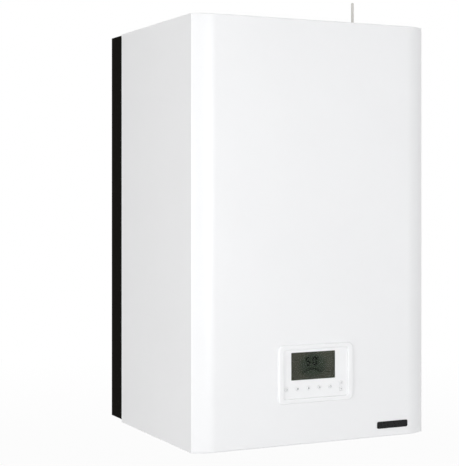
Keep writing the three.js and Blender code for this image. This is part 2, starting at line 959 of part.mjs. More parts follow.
function aerial() {
  const place = groupAt(aerialX, aerialY, top);
  const rod = turned("z", [0, 0, 0], [
    [0, aerialNutHeight / 2],
    [aerialRadius, aerialNutHeight / 2],
    [aerialRadius, aerialHeight - aerialRadius],
    [aerialRadius * Math.SQRT1_2, aerialHeight - aerialRadius * (1 - Math.SQRT1_2)],
    [0, aerialHeight],
  ]);
  const nut = bar("z", [0, 0, gap], aerialNutRadius, aerialNutHeight, hexagon);
  const thread = bar("z", [0, 0, past], aerialThreadRadius, -aerialThreadLength - past);
  piece("antenna", join(rod, nut, thread), aerialPlastic, place);
}

// ---- Water store ----

// The store's outline from the axis, grown by a distance, from its lowest to its highest point.
function storeOutline(grow, steps = 4) {
  const radius = storeRadius + grow;
  const dome = storeDome + grow;
  const low = storeBase + storeDome;
  const high = storeTop - storeDome;
  const arc = Array.from({ length: steps + 1 }, (_, i) => (i / steps) * (Math.PI / 2));
  const lower = arc.map((angle) => [radius * Math.sin(angle), low - dome * Math.cos(angle)]);
  const upper = arc.map((angle) => [radius * Math.cos(angle), high + dome * Math.sin(angle)]);
  return [...lower, ...upper];
}

const portBack = exchangerPortPitch; // the return port stands this far behind the store's axis

function storeShell(store) {
  const skin = turned("z", [0, 0, 0], storeOutline(0), mediumSides);
  const hollow = turned("z", [0, 0, 0], storeOutline(-storeWall), mediumSides);
  const inside = storeBase + storeDome;
  const neck = bar("z", [0, 0, inside], neckRadius, neckEnd - inside, wideSides);
  const flange = bar("z", [0, 0, neckEnd], flangeRadius, flangeThickness, wideSides);
  const neckLength = neckEnd - inside - 2 * past;
  const neckHole = bar("z", [0, 0, inside + past], neckRadius - neckWall, neckLength, wideSides);
  const dipTop = storeTop - dipTubeBelowTop;
  const dip = dipTop - portEnd;
  const stub = inside - portEnd;
  const flowPort = bar("z", [pumpX, 0, portEnd], portRadius, dip, smallSides);
  const flowBore = bar("z", [pumpX, 0, portEnd - past], portBore, dip + 2 * past, smallSides);
  const returnPort = bar("z", [returnPortX, portBack, portEnd], portRadius, stub, smallSides);
  const returnBore = bar("z", [returnPortX, portBack, portEnd - past], portBore, stub + 2 * past, smallSides);
  const boss = bar("z", [0, 0, storeTop - storeWall], ventBossRadius, ventBossHeight + storeWall);
  const bossLength = ventBossHeight + 3 * storeWall;
  const bossBore = bar("z", [0, 0, storeTop - 2 * storeWall], ventBore, bossLength, smallSides);
  const shell = cut(join(skin, neck), hollow);
  const body = join(shell, flange, flowPort, returnPort, boss);
  piece("tank_shell", cut(body, neckHole, flowBore, returnBore, bossBore), steel, store);
}

function jacketHalves(store) {
  const outer = bar("z", [0, 0, jacketBase], jacketRadius, jacketTop - jacketBase, mediumSides);
  const hollow = turned("z", [0, 0, 0], storeOutline(gap), mediumSides);
  const floorHole = (x, y, radius, sides) =>
    bar("z", [x, y, jacketBase - past], radius + jacketHoleAir, jacketFloor + storeDome, sides);
  const holes = [
    floorHole(0, 0, neckRadius, wideSides),
    floorHole(pumpX, 0, portRadius, smallSides),
    floorHole(returnPortX, portBack, portRadius, smallSides),
    bar("z", [0, 0, storeTop - storeWall], ventRadius + jacketHoleAir, jacketRoof + 2 * storeWall, wideSides),
  ];
  const whole = cut(outer, hollow, ...holes);
  const half = (side) =>
    block([-width, width], [(side * gap) / 2, side * width], [-height, height]);
  piece("jacket_front", whole.intersect(half(-1)), foam, store);
  piece("jacket_rear", whole.intersect(half(1)), foam, store);
}

function storeShelf(store) {
  const sideX = jacketRadius + shelfSide;
  const frontY = shelfSetback - jacketRadius;
  const rearY = -storeY - frameSheet - gap;
  const plate = block([-sideX, sideX], [frontY, jacketRadius], [shelfBase, shelfTop]);
  const armHeights = [shelfTop, shelfBase - shelfFlange];
  const arms = [-1, 1].map((side) =>
    join(
      block([side * sideX, side * (sideX - shelfSheet)], [frontY, rearY], armHeights),
      block([side * sideX, side * (sideX - shelfFoot)], [rearY - shelfSheet, rearY], armHeights),
    ),
  );
  const hole = (x, y, radius, sides) =>
    bar("z", [x, y, shelfBase - past], radius, shelfSheet + 2 * past, sides);
  const holes = [
    hole(0, 0, flangeRadius + shelfHoleAir, wideSides),
    hole(pumpX, 0, portRadius + shelfHoleAir, smallSides),
    hole(returnPortX, portBack, portRadius + shelfHoleAir, smallSides),
  ];
  piece("tank_shelf", cut(join(plate, ...arms), ...holes), zinc, store);
}

function elements(store) {
  const flangeTop = neckEnd - gap;
  const disc = bar("z", [0, 0, flangeTop], flangeRadius, -elementFlangeThickness, wideSides);
  const foot = flangeTop - elementFlangeThickness - terminalLength;
  const crown = neckEnd + elementLength;
  const loops = Array.from({ length: elementCount }, (_, i) => {
    const angle = (i / elementCount) * 2 * Math.PI;
    const at = (spread, z) => [
      elementRing * Math.cos(angle) - spread * Math.sin(angle),
      elementRing * Math.sin(angle) + spread * Math.cos(angle),
      z,
    ];
    const corners = [
      at(-elementSpread, foot),
      at(-elementSpread, crown),
      at(elementSpread, crown),
      at(elementSpread, foot),
    ];
    return sweep(corners, elementRadius, elementSpread - 1, hexagon);
  });
  const pocketBase = foot + terminalLength / 3;
  const pocket = bar("z", [0, 0, pocketBase], sensorPocketRadius, sensorPocketLength, slimSides);
  piece("element_flange", join(disc, pocket, ...loops), steel, store);
}

function airVent(store) {
  const ventBase = storeTop + ventBossHeight + gap;
  const shoulder = ventBase + ventHeight - ventNeckHeight;
  const ventTop = ventBase + ventHeight;
  const body = turned("z", [0, 0, 0], [
    [0, ventBase],
    [ventBossRadius, ventBase],
    [ventBossRadius, ventBase + ventFoot],
    [ventRadius, ventBase + ventFoot + ventChamfer],
    [ventRadius, shoulder],
    [ventNeckRadius, shoulder + ventChamfer],
    [ventNeckRadius, ventTop],
    [0, ventTop],
  ]);
  const passage = bar("z", [0, 0, ventBase - past], ventPassage, ventHeight + 2 * past, slimSides);
  piece("air_vent_body", cut(body, passage), brass, store);
  const capBase = ventTop - ventCapLap;
  const cap = bar("z", [0, 0, capBase], ventCapRadius, ventCapHeight);
  const hollow = bar("z", [0, 0, capBase - past], ventNeckRadius + gap, ventCapLap + gap + past);
  const rib = block(
    [-ventCapRib / 2, ventCapRib / 2],
    [ventCapRadius - past, ventCapRadius + ventCapRib],
    [capBase, capBase + ventCapHeight],
  );
  piece("air_vent_cap", join(cut(cap, hollow), rib), blackPlastic, store);
}

function waterStore() {
  const store = groupAt(0, storeY, 0);
  storeShelf(store);
  storeShell(store);
  jacketHalves(store);
  elements(store);
  airVent(store);
}

function expansionVessel() {
  const vesselTop = top - vesselBelowTop;
  const centre = vesselTop - vesselHeight / 2;
  const front = vesselY - vesselDepth / 2;
  const back = vesselY + vesselDepth / 2;
  const skin = slab(
    roundedRectangle(vesselWidth, vesselHeight, vesselCorner, 0, centre),
    front,
    back,
    vesselRound,
    2,
  );
  const hollow = slab(
    roundedRectangle(
      vesselWidth - 2 * vesselWall,
      vesselHeight - 2 * vesselWall,
      vesselCorner - vesselWall,
      0,
      centre,
    ),
    front + vesselWall,
    back - vesselWall,
    vesselRound,
    2,
  );
  const low = centre - vesselHeight / 2;
  const stubTop = low + vesselWall / 2;
  const boreTop = low + 2 * vesselWall;
  const stub = bar("z", [returnX, vesselY, stubTop], expansionRadius + 2, -vesselStub, smallSides);
  const boreLength = boreTop - stubTop + vesselStub + past;
  const bore = bar("z", [returnX, vesselY, boreTop], expansionRadius - pipeWall, -boreLength, smallSides);
  piece("expansion_vessel", cut(join(cut(skin, hollow), stub), bore), redPaint);
  return stubTop - vesselStub;
}

// ---- Pump, diverter and heat exchanger ----

function pump() {
  const unit = groupAt(pumpX, storeY, pumpZ);
  const half = voluteLength / 2;
  const chamberRadius = voluteRadius - voluteWall;
  const casing = bar("y", [0, -half, 0], voluteRadius, voluteLength);
  const necks = bar("z", [0, 0, -pumpPortLength / 2], pumpNeckRadius, pumpPortLength, mediumSides);
  const rims = [-1, 1].map((end) =>
    bar("z", [0, 0, (end * pumpPortLength) / 2], pumpNutRadius, -end * pumpNutHeight, hexagon),
  );
  const chamber = bar("y", [0, -half - past, 0], chamberRadius, voluteLength - voluteWall + past);
  const bores = bar("z", [0, 0, -pumpPortLength / 2 - past], portBore, pumpPortLength + 2 * past);
  piece("pump_volute", cut(join(casing, necks, ...rims), chamber, bores), iron, unit);

  const motorBack = -half - gap;
  const can = bar("y", [0, motorBack, 0], motorRadius, -motorLength);
  const box = block(
    [-motorBoxWidth / 2, motorBoxWidth / 2],
    [motorBack - motorBoxBehind, motorBack - motorLength + motorBoxInset],
    [-motorRadius - motorBoxDrop, -motorRadius / 2],
  );
  const canDepth = rotorLength + 2 * rotorAir;
  const canHollow = bar("y", [0, motorBack - motorWall, 0], rotorRadius + rotorAir, -canDepth);
  const shaftHole = bar("y", [0, motorBack + past, 0], shaftRadius + gap, motorWall - motorLength - past);
  piece("pump_motor", cut(join(can, box), canHollow, shaftHole), iron, unit);

  const discFront = motorBack + impellerAir;
  const disc = bar("y", [0, discFront, 0], impellerRadius, impellerDisc);
  const vanes = Array.from({ length: impellerVanes }, (_, i) => {
    const vane = new THREE.BoxGeometry(impellerRadius - shaftRadius, vaneHeight + past, vaneThickness);
    const vaneMiddle = discFront + impellerDisc + (vaneHeight - past) / 2;
    vane.translate((impellerRadius + shaftRadius) / 2 - past, vaneMiddle, 0);
    vane.rotateY((i / impellerVanes) * 2 * Math.PI);
    return solid(vane);
  });
  const shaftEnd = motorBack - motorLength + motorWall + gap + 2 * past;
  const shaft = bar("y", [0, shaftEnd, 0], shaftRadius, discFront + impellerShaft - shaftEnd);
  const magnet = bar("y", [0, motorBack - motorWall - rotorAir, 0], rotorRadius, -rotorLength);
  piece("pump_rotor", join(disc, shaft, magnet, ...vanes), steel, unit);
}

function diverter() {
  const unit = groupAt(pumpX, storeY, diverterZ);
  const inlet = bar("z", [0, 0, -diverterTail], diverterRadius, diverterDrop + diverterTail, mediumSides);
  const side = bar("x", [0, 0, 0], diverterPortRadius, exchangerMeet - gap - pumpX);
  const back = bar("y", [0, 0, 0], diverterPortRadius, diverterBack);
  const front = bar("y", [0, 0, 0], diverterPortRadius + 1, -diverterFront);
  const nut = bar("x", [exchangerMeet - gap - pumpX, 0, 0], diverterNutRadius, -diverterNutLength, hexagon);
  const chamberFront = -diverterChamber - diverterChamberWall;
  const bores = [
    bar("z", [0, 0, 0], portBore, diverterDrop + past),
    bar("x", [0, 0, 0], portBore - pipeWall, exchangerMeet - pumpX + past),
    bar("y", [0, chamberFront, 0], diverterChamber, diverterBack - chamberFront + past, mediumSides),
    bar("y", [0, past, 0], stemRadius + gap, -diverterFront - 2 * past, smallSides),
  ];
  piece("diverter_body", cut(join(inlet, side, back, front, nut), ...bores), brass, unit);

  const stemFront = -diverterFront - actuatorGrip;
  const stem = bar("y", [0, stemFront, 0], stemRadius, -stemFront + diverterBack / 2, smallSides);
  const plugs = [-diverterChamber + stemTravel, diverterBack / 2 - plugThickness].map((y) =>
    bar("y", [0, y, 0], plugRadius, plugThickness, mediumSides),
  );
  piece("diverter_stem", join(stem, ...plugs), steel, unit);

  const motorBack = -diverterFront - gap;
  const motor = block(
    [-actuatorWidth / 2, actuatorWidth / 2],
    [motorBack, motorBack - actuatorDepth],
    [-actuatorHeight / 2, actuatorHeight / 2],
  );
  const pitDepth = past + actuatorGrip + stemTravel + gap;
  const pit = bar("y", [0, motorBack + past, 0], stemRadius + gap, -pitDepth, smallSides);
  piece("diverter_motor", cut(motor, pit), blackPlastic, unit);
}

function plateExchanger() {
  const low = diverterZ - exchangerMargin;
  const high = upperPortZ + exchangerMargin;
  const front = storeY - exchangerMargin;
  const back = rearPortY + exchangerMargin;
  const right = exchangerLeft + exchangerThickness;
  const pack = block([exchangerLeft, right], [front, back], [low, high]);
  const pitch = exchangerThickness / (exchangerGrooves + 1);
  const grooves = Array.from({ length: exchangerGrooves }, (_, i) => {
    const x = exchangerLeft + (i + 1) * pitch;
    const ring = block(
      [x - grooveWidth / 2, x + grooveWidth / 2],
      [front - past, back + past],
      [low - past, high + past],
    );
    const core = block(
      [x - grooveWidth, x + grooveWidth],
      [front + grooveDepth, back - grooveDepth],
      [low + grooveDepth, high - grooveDepth],
    );
    return cut(ring, core);
  });
  const ports = [storeY, rearPortY].flatMap((y) => [diverterZ, upperPortZ].map((z) => [exchangerMeet, y, z]));
  const stubs = ports.map((port) => bar("x", port, exchangerStubRadius, exchangerStub + past));
  const bores = ports.map(([x, y, z]) =>
    bar("x", [x - past, y, z], waterRadius, exchangerStub + exchangerPortDepth, smallSides),
  );
  piece("plate_exchanger", cut(join(cut(pack, ...grooves), ...stubs), ...bores), steel);
}

// ---- Pipes, tails and what sits on them ----

function mainPipes(vesselEnd) {
  const flow = {
    corners: [
      [flowX, storeY + diverterBack + gap, diverterZ],
      [flowX, tailY, diverterZ],
      [flowX, tailY, up(tailTop + gap)],
    ],
    radius: mainRadius,
    bend: mainBend,
  };
  piece("pipe_heating_flow", pipework(flow), copper);

  const fromExchanger = {
    corners: [
      [exchangerMeet - gap, rearPortY, upperPortZ],
      [returnPortX, rearPortY, upperPortZ],
      [returnPortX, rearPortY, portEnd - gap],
    ],
    radius: mainRadius,
    bend: mainBend,
  };
  const fromTail = {
    corners: [
      [returnX, tailY, up(tailTop + gap)],
      [returnX, tailY, upperPortZ],
      [returnX, rearPortY, upperPortZ],
    ],
    radius: mainRadius,
    bend: mainBend,
  };
  const body = pipework(fromExchanger, fromTail);
  // Branches start inside the riser's wall and end at the piece that they feed.
  const root = mainRadius - 2 * pipeWall;
  const branches = [
    ["x", [returnX - root, tailY, up(reliefUp)], waterRadius, root - reliefStubLength],
    ["x", [returnX + root, tailY, up(fillUp)], fillRadius, mainRadius + fillBoss - root],
    ["y", [returnX, tailY + root, up(expansionUp)], expansionRadius, expansionBoss - root],
  ];
  const bosses = branches.map(([axis, from, radius, length]) => bar(axis, from, radius, length, smallSides));
  const bores = branches.map(([axis, from, radius, length]) =>
    bar(axis, from, radius - pipeWall, length + Math.sign(length) * past, smallSides),
  );
  piece("pipe_return", cut(join(body, ...bosses), ...bores), copper);

  const expansion = {
    corners: [
      [returnX, vesselY, vesselEnd - gap],
      [returnX, vesselY, up(expansionUp)],
      [returnX, tailY + expansionBoss + gap, up(expansionUp)],
    ],
    radius: expansionRadius,
    bend: waterBend,
  };
  piece("pipe_expansion", pipework(expansion), copper);
}

function waterPipes() {
  const cold = {
    corners: [
      [coldX, tailY, up(sensorTop + gap)],
      [coldX, tailY, up(coldRunUp)],
      [coldX, tailY - coldRunForward, up(coldRunUp)],
      [hotPipeX, tailY - coldRunForward, up(coldRunUp)],
      [hotPipeX, rearPortY, up(coldRunUp)],
      [hotPipeX, rearPortY, diverterZ],
      [exchangerMeet - gap, rearPortY, diverterZ],
    ],
    radius: waterRadius,
    bend: waterBend,
  };
  const root = waterRadius - 2 * pipeWall;
  const bossLength = waterRadius + fillBoss - root;
  const boss = bar("x", [coldX - root, tailY, up(fillUp)], fillRadius, -bossLength, smallSides);
  const bossBore = bar("x", [coldX - root, tailY, up(fillUp)], fillBore, -bossLength - past, smallSides);
  piece("pipe_cold", cut(join(pipework(cold), boss), bossBore), copper);

  const hot = {
    corners: [
      [exchangerMeet - gap, storeY, upperPortZ],
      [hotPipeX, storeY, upperPortZ],
      [hotPipeX, storeY, up(hotRunUp)],
      [hotPipeX, tailY, up(hotRunUp)],
      [hotX, tailY, up(hotRunUp)],
      [hotX, tailY, up(tailTop + gap)],
    ],
    radius: waterRadius,
    bend: waterBend,
  };
  piece("pipe_hot", pipework(hot), copper);
}

function tails() {
  const places = [
    ["tail_heating_flow", flowX, mainRadius],
    ["tail_hot", hotX, waterRadius],
    ["tail_cold", coldX, waterRadius],
    ["tail_return", returnX, mainRadius],
  ];
  for (const [name, x, radius] of places) {
    const place = groupAt(x, tailY, base);
    const body = bar("z", [0, 0, -tailDrop], radius + tailWall, tailDrop + tailTop);
    const nut = bar("z", [0, 0, tailTop - tailNutHeight], tailNutRadius, tailNutHeight, hexagon);
    const collar = bar("z", [0, 0, -tailCollarDrop], radius + tailWall + tailCollarProud, tailCollarHeight);
    const bore = bar("z", [0, 0, -tailDrop - past], radius - pipeWall, tailDrop + tailTop + 2 * past);
    piece(name, cut(join(body, nut, collar), bore), brass, place);
  }
}

function flowSensor() {
  const place = groupAt(coldX, tailY, up(tailTop + gap));
  const length = sensorTop - tailTop - gap;
  const middle = length / 2;
  const skin = bar("z", [0, 0, 0], sensorRadius, length, mediumSides);
  const head = block(
    [-sensorHeadWidth / 2, sensorHeadWidth / 2],
    [-sensorRadius - sensorHeadProud, 0],
    [middle - sensorHeadHeight / 2, middle + sensorHeadHeight / 2],
  );
  const bore = bar("z", [0, 0, -past], waterRadius - pipeWall, length + 2 * past);
  const spiderReach = sensorBore + past;
  const spider = (z) =>
    join(
      block([-spiderReach, spiderReach], [-spiderHalf, spiderHalf], [z, z + spiderThickness]),
      block([-spiderHalf, spiderHalf], [-spiderReach, spiderReach], [z, z + spiderThickness]),
    );
  const shaftHalf = turbineLength / 2 + turbineShaftProud;
  const chamberHalf = shaftHalf + gap + spiderThickness;
  const chamber = bar("z", [0, 0, middle - chamberHalf], sensorBore, 2 * chamberHalf, mediumSides);
  const spiders = [spider(middle - shaftHalf - gap - spiderThickness), spider(middle + shaftHalf + gap)];
  piece("flow_sensor_body", join(cut(join(skin, head), bore, chamber), ...spiders), blackPlastic, place);

  const shaft = bar("z", [0, 0, middle - shaftHalf], turbineShaft, 2 * shaftHalf, slimSides);
  const vanes = Array.from({ length: turbineVanes }, (_, i) => {
    const vane = new THREE.BoxGeometry(turbineRadius, turbineVaneSheet, turbineLength);
    vane.translate(turbineRadius / 2, 0, middle);
    vane.rotateZ((i / turbineVanes) * 2 * Math.PI);
    return solid(vane);
  });
  piece("flow_turbine", join(shaft, ...vanes), bluePlastic, place);
}

function reliefValve() {
  const place = groupAt(reliefX, tailY, up(reliefUp));
  const drop = reliefUp + tailDrop;
  const meet = returnX - reliefStubLength - gap - reliefX;
  const body = bar("z", [0, 0, -reliefRise], reliefRadius, 2 * reliefRise, mediumSides);
  const outlet = bar("z", [0, 0, -drop], reliefOutletRadius, drop, mediumSides);
  const inlet = bar("x", [0, 0, 0], reliefInletRadius, meet);
  const spindle = bar("z", [0, 0, reliefRise - past], spindleRadius, spindleLength + past, smallSides);
  const bore = bar("z", [0, 0, -drop - past], reliefOutletBore, drop + past + reliefSeatRise, mediumSides);
  const inletBore = bar("x", [0, 0, 0], waterRadius - pipeWall, meet + past, smallSides);
  piece("relief_valve_body", cut(join(body, outlet, inlet, spindle), bore, inletBore), brass, place);

  const knobBase = reliefRise + gap;
  const knob = bar("z", [0, 0, knobBase], knobRadius, knobHeight, wideSides);
  const socket = bar("z", [0, 0, knobBase - past], spindleRadius + gap, spindleLength + past, smallSides);
  const grips = Array.from({ length: knobGrips }, (_, i) => {
    const angle = (i / knobGrips) * 2 * Math.PI;
    const out = knobRadius + gripSetback;
    const at = [out * Math.cos(angle), out * Math.sin(angle), knobBase - past];
    return bar("z", at, gripRadius, knobHeight + 2 * past, slimSides);
  });
  piece("relief_knob", cut(knob, socket, ...grips), redPlastic, place);
}

function fillingValve() {
  const left = returnX + mainRadius + fillBoss + gap;
  const right = coldX - waterRadius - fillBoss - gap;
  const place = groupAt((left + right) / 2, tailY, up(fillUp));
  const half = (right - left) / 2;
  const tube = bar("x", [-half, 0, 0], fillRadius, 2 * half);
  const ball = bar("x", [-half / 2, 0, 0], fillBallRadius, half);
  const neck = bar("y", [0, 0, 0], fillNeckRadius, -fillRadius - fillNeckLength, smallSides);
  const bore = bar("x", [-half - past, 0, 0], fillBore, 2 * half + 2 * past, smallSides);
  piece("fill_valve_body", cut(join(tube, ball, neck), bore), brass, place);

  const leverBack = -fillRadius - fillNeckLength - gap;
  const leverFront = leverBack - leverThickness;
  const hub = bar("y", [0, leverBack, 0], leverHubRadius, -leverThickness);
  const arm = block([-leverWidth / 2, leverWidth / 2], [leverBack, leverFront], [0, -leverLength]);
  const tip = bar("y", [0, leverBack, -leverLength], leverWidth / 2, -leverThickness);
  piece("fill_lever", join(hub, arm, tip), bluePlastic, place);
}

function pressureGauge() {
  const place = groupAt(gaugeX, gaugeY, base);
  const rimBase = -gap - gaugeRimHeight;
  const body = bar("z", [0, 0, rimBase], gaugeRadius, gaugeRimHeight + gap + gaugeRise);
  const rim = bar("z", [0, 0, rimBase], gaugeRadius + gaugeRim, gaugeRimHeight);
  const recess = bar("z", [0, 0, rimBase - past], dialRadius, dialRecess + past);
  const stem = bar("z", [0, 0, gaugeRise - past], gaugeStemRadius, gaugeStemRise + past, smallSides);
  piece("gauge_body", cut(join(body, rim, stem), recess), blackPlastic, place);

  const dial = rimBase + dialRecess - gap;
  const hub = bar("z", [0, 0, dial], hubRadius, -needleThickness * 2, smallSides);
  const pointer = block(
    [-needleTail, needleLength],
    [-needleWidth / 2, needleWidth / 2],
    [dial - needleThickness, dial - 2 * needleThickness],
  );
  const atZero = groupAt(0, 0, 0, place);
  atZero.rotation.z = needleRest;
  piece("gauge_needle", join(hub, pointer), redPlastic, atZero);
}

// ---- Electrical parts ----

const trayInside = trayBack - sheet;

function electricalTray() {
  const outer = block([trayLeft, trayRight], [trayFront, trayBack], [trayBase, up(trayTop)]);
  const inner = block(
    [trayLeft + sheet, trayRight - sheet],
    [trayFront - past, trayInside],
    [trayBase + sheet, up(trayTop) - sheet],
  );
  const inset = boardMargin + standoffInset;
  const posts = [trayLeft + inset, trayRight - inset].flatMap((x) =>
    [up(boardBase + standoffInset), up(trayTop - inset)].map((z) =>
      bar("y", [x, trayInside + sheet / 2, z], standoffRadius, -standoff - sheet / 2, smallSides),
    ),
  );
  const cable = bar("z", [glandX, glandY, trayBase - past], glandRadius + gap, sheet + 2 * past);
  piece("electrical_tray", cut(join(cut(outer, inner), ...posts), cable), zinc);
}

function mainBoard() {
  const back = trayInside - standoff - gap;
  const front = back - boardSheet;
  const left = trayLeft + boardMargin;
  const right = trayRight - boardMargin;
  const low = up(boardBase);
  const high = up(trayTop - boardMargin);
  const board = block([left, right], [back, front], [low, high]);
  const root = boardSheet / 3; // how deep the parts' feet go into the board
  const pitch = (right - left) / relayCount;
  const relays = Array.from({ length: relayCount }, (_, i) => {
    const x = left + (i + 0.5) * pitch;
    return block(
      [x - relayWidth / 2, x + relayWidth / 2],
      [front + root, front - relayDepth],
      [low + relayRise, low + relayRise + relayHeight],
    );
  });
  const connector = block(
    [left + connectorSideAir, right - connectorSideAir],
    [front + root, front - connectorDepth],
    [high - connectorTopAir - connectorHeight, high - connectorTopAir],
  );
  const capacitorAt = [left + capacitorIn, front + root, high - capacitorDrop];
  const capacitor = bar("y", capacitorAt, capacitorRadius, -capacitorLength - root);
  const chip = block(
    [right - chipIn - chipWidth, right - chipIn],
    [front + root, front - chipDepth],
    [high - chipDrop - chipHeight, high - chipDrop],
  );
  piece("main_board", join(board, connector, capacitor, chip, ...relays), boardGreen);
}

function terminalBlock() {
  const left = trayLeft + boardMargin;
  const right = trayRight - boardMargin;
  const back = trayInside - gap;
  const front = back - terminalDepth;
  const low = up(terminalUp);
  const body = block([left, right], [back, front], [low, low + terminalHeight]);
  const pitch = (right - left) / terminalWays;
  const wells = Array.from({ length: terminalWays }, (_, i) => {
    const at = [left + (i + 0.5) * pitch, front - past, low + terminalHeight / 2];
    return bar("y", at, terminalScrewRadius, terminalScrewDepth + past, slimSides);
  });
  const ribs = Array.from({ length: terminalWays - 1 }, (_, i) => {
    const x = left + (i + 1) * pitch;
    return block(
      [x - terminalRib / 2, x + terminalRib / 2],
      [front + past, front - terminalRibProud],
      [low, low + terminalHeight],
    );
  });
  piece("terminal_block", cut(join(body, ...ribs), ...wells), whitePlastic);
}

function overheatStat() {
  const place = groupAt(trayRight - boardMargin - statWidth / 2, trayInside - gap, up(statUp));
  const front = -statDepth;
  const body = block([-statWidth / 2, statWidth / 2], [0, front], [-statHeight / 2, statHeight / 2]);
  const bushFront = front - resetBush;
  const bush = bar("y", [0, front + past, 0], resetRadius + resetBush, -resetBush - past);
  const wellDepth = resetBush + resetBody + resetTravel;
  const well = bar("y", [0, bushFront - past, 0], resetRadius + gap, wellDepth + past);
  piece("overheat_stat", cut(join(body, bush), well), blackPlastic, place);
  const buttonLength = resetProud + resetBush + resetBody - gap;
  const button = bar("y", [0, bushFront - resetProud, 0], resetRadius, buttonLength);
  piece("overheat_reset", button, redPlastic, place);
}

function cableGland() {
  const place = groupAt(glandX, glandY, base);
  const thread = bar("z", [0, 0, -glandDrop], glandRadius, glandDrop + glandRise);
  const nut = bar("z", [0, 0, -gap], glandNutRadius, -glandNutHeight, hexagon);
  const domeTop = -gap - glandNutHeight + past;
  const dome = turned("z", [0, 0, 0], [
    [0, -glandDrop],
    [glandRadius, -glandDrop],
    [glandDomeRadius, -glandDrop + glandLockHeight],
    [glandDomeRadius, domeTop],
    [0, domeTop],
  ]);
  const lockBase = sheet + gap + sheet + gap; // on the tray, which stands on the bottom panel
  const lock = bar("z", [0, 0, lockBase], glandNutRadius, glandLockHeight, hexagon);
  const bore = bar("z", [0, 0, -glandDrop - past], glandBore, glandDrop + glandRise + 2 * past);
  piece("cable_gland", cut(join(thread, nut, dome, lock), bore), blackPlastic, place);
}

// ---- Build ----

rearFrame();
wallBracket();
sidePanels();
topPanel();
bottomPanel();
coverScrews();
aerial();

const cover = groupAt(0, 0, 0);
frontCover(cover);
badge(cover);

const panel = groupAt(panelX, -depth, up(panelUp), cover);
bezel(panel);
face(panel);
display(panel);
keys(panel);

waterStore();
mainPipes(expansionVessel());
waterPipes();
tails();
pump();
diverter();
plateExchanger();
flowSensor();
reliefValve();
fillingValve();
pressureGauge();

electricalTray();
mainBoard();
terminalBlock();
overheatStat();
cableGland();

export default boiler;
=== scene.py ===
import bpy
import bmesh
import json
import math
from mathutils import Matrix, Vector

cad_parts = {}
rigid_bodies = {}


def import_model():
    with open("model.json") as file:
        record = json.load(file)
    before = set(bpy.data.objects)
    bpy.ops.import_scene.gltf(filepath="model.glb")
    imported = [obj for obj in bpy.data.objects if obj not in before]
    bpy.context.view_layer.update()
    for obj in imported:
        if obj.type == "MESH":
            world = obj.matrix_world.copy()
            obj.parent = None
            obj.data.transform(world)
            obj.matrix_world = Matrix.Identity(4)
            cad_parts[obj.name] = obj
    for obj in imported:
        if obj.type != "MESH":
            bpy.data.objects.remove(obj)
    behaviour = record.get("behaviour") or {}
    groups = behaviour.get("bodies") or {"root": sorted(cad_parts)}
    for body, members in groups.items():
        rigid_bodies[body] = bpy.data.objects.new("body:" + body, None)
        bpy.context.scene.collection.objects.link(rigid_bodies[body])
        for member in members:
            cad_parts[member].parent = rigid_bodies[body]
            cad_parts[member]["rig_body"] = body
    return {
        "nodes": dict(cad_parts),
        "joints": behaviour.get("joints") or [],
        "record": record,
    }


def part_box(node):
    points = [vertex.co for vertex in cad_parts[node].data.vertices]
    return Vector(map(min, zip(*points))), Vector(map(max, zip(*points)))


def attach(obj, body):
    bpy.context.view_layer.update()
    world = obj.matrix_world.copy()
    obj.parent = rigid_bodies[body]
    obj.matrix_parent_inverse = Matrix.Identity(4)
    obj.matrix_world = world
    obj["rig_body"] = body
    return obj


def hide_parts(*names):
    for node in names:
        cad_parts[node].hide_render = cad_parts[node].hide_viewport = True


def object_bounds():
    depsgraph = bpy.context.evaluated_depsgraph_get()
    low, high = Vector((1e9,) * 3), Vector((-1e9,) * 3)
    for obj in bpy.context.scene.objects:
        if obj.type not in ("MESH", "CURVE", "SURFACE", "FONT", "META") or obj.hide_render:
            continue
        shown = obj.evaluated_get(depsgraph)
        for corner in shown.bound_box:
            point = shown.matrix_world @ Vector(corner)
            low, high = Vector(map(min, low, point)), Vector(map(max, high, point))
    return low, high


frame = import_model()
cad_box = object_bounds()
MM = 0.001


# ---- Camera, floor and light ----

CAMERA_PLACE = (-1.194, -2.537, 0.073)
CAMERA_HEADING = math.atan2(0.4337, 0.9011)  # to the right of straight ahead, in plan
CAMERA_LENS = 98.8
CAMERA_DROP = 0.086  # how far the picture is shifted down, as a share of its height
FLOOR_DROP = 0.12  # the floor, below the lowest pipe tail
FLOOR_NEAR = (0.9, 2.2)  # from the object, in metres: where the floor starts and ends turning pure white
FLOOR_GLOW = (0.94, 1.0)  # and how much of it is plain white there, which leaves a soft shadow near
FILL_LEVEL = 0.27  # even light from all round
WHITE = (1, 1, 1, 1)
LAMPS = {  # place, target, size and power
    "front_softbox": ((0.05, -3.6, 0.15), (0, 0, 0), (1.3, 1.4), 41.8),
    "left_softbox": ((-2.6, -1.25, 0.12), (0, -0.2, 0), (1.4, 1.35), 28.5),
    "right_softbox": ((3.2, -1.2, 0.8), (0, -0.2, 0), (1.6, 2.2), 4.5),
    "top_softbox": ((0, -0.6, 3.2), (0, -0.2, 0), (2.6, 2.6), 29),
    "back_softbox": ((0.6, 3.2, 1.2), (0, 0, 0), (2.2, 2.2), 40),
}


def placed(name, data, place=(0, 0, 0), turn=(0, 0, 0)):
    """A new object in the scene."""
    thing = bpy.data.objects.new(name, data)
    thing.location = place
    thing.rotation_euler = turn
    bpy.context.collection.objects.link(thing)
    return thing


def make_camera():
    data = bpy.data.cameras.new("camera")
    data.lens = CAMERA_LENS
    data.shift_y = -CAMERA_DROP
    data.clip_end = 50
    turn = (math.pi / 2, 0, -CAMERA_HEADING)
    bpy.context.scene.camera = placed("camera", data, CAMERA_PLACE, turn)


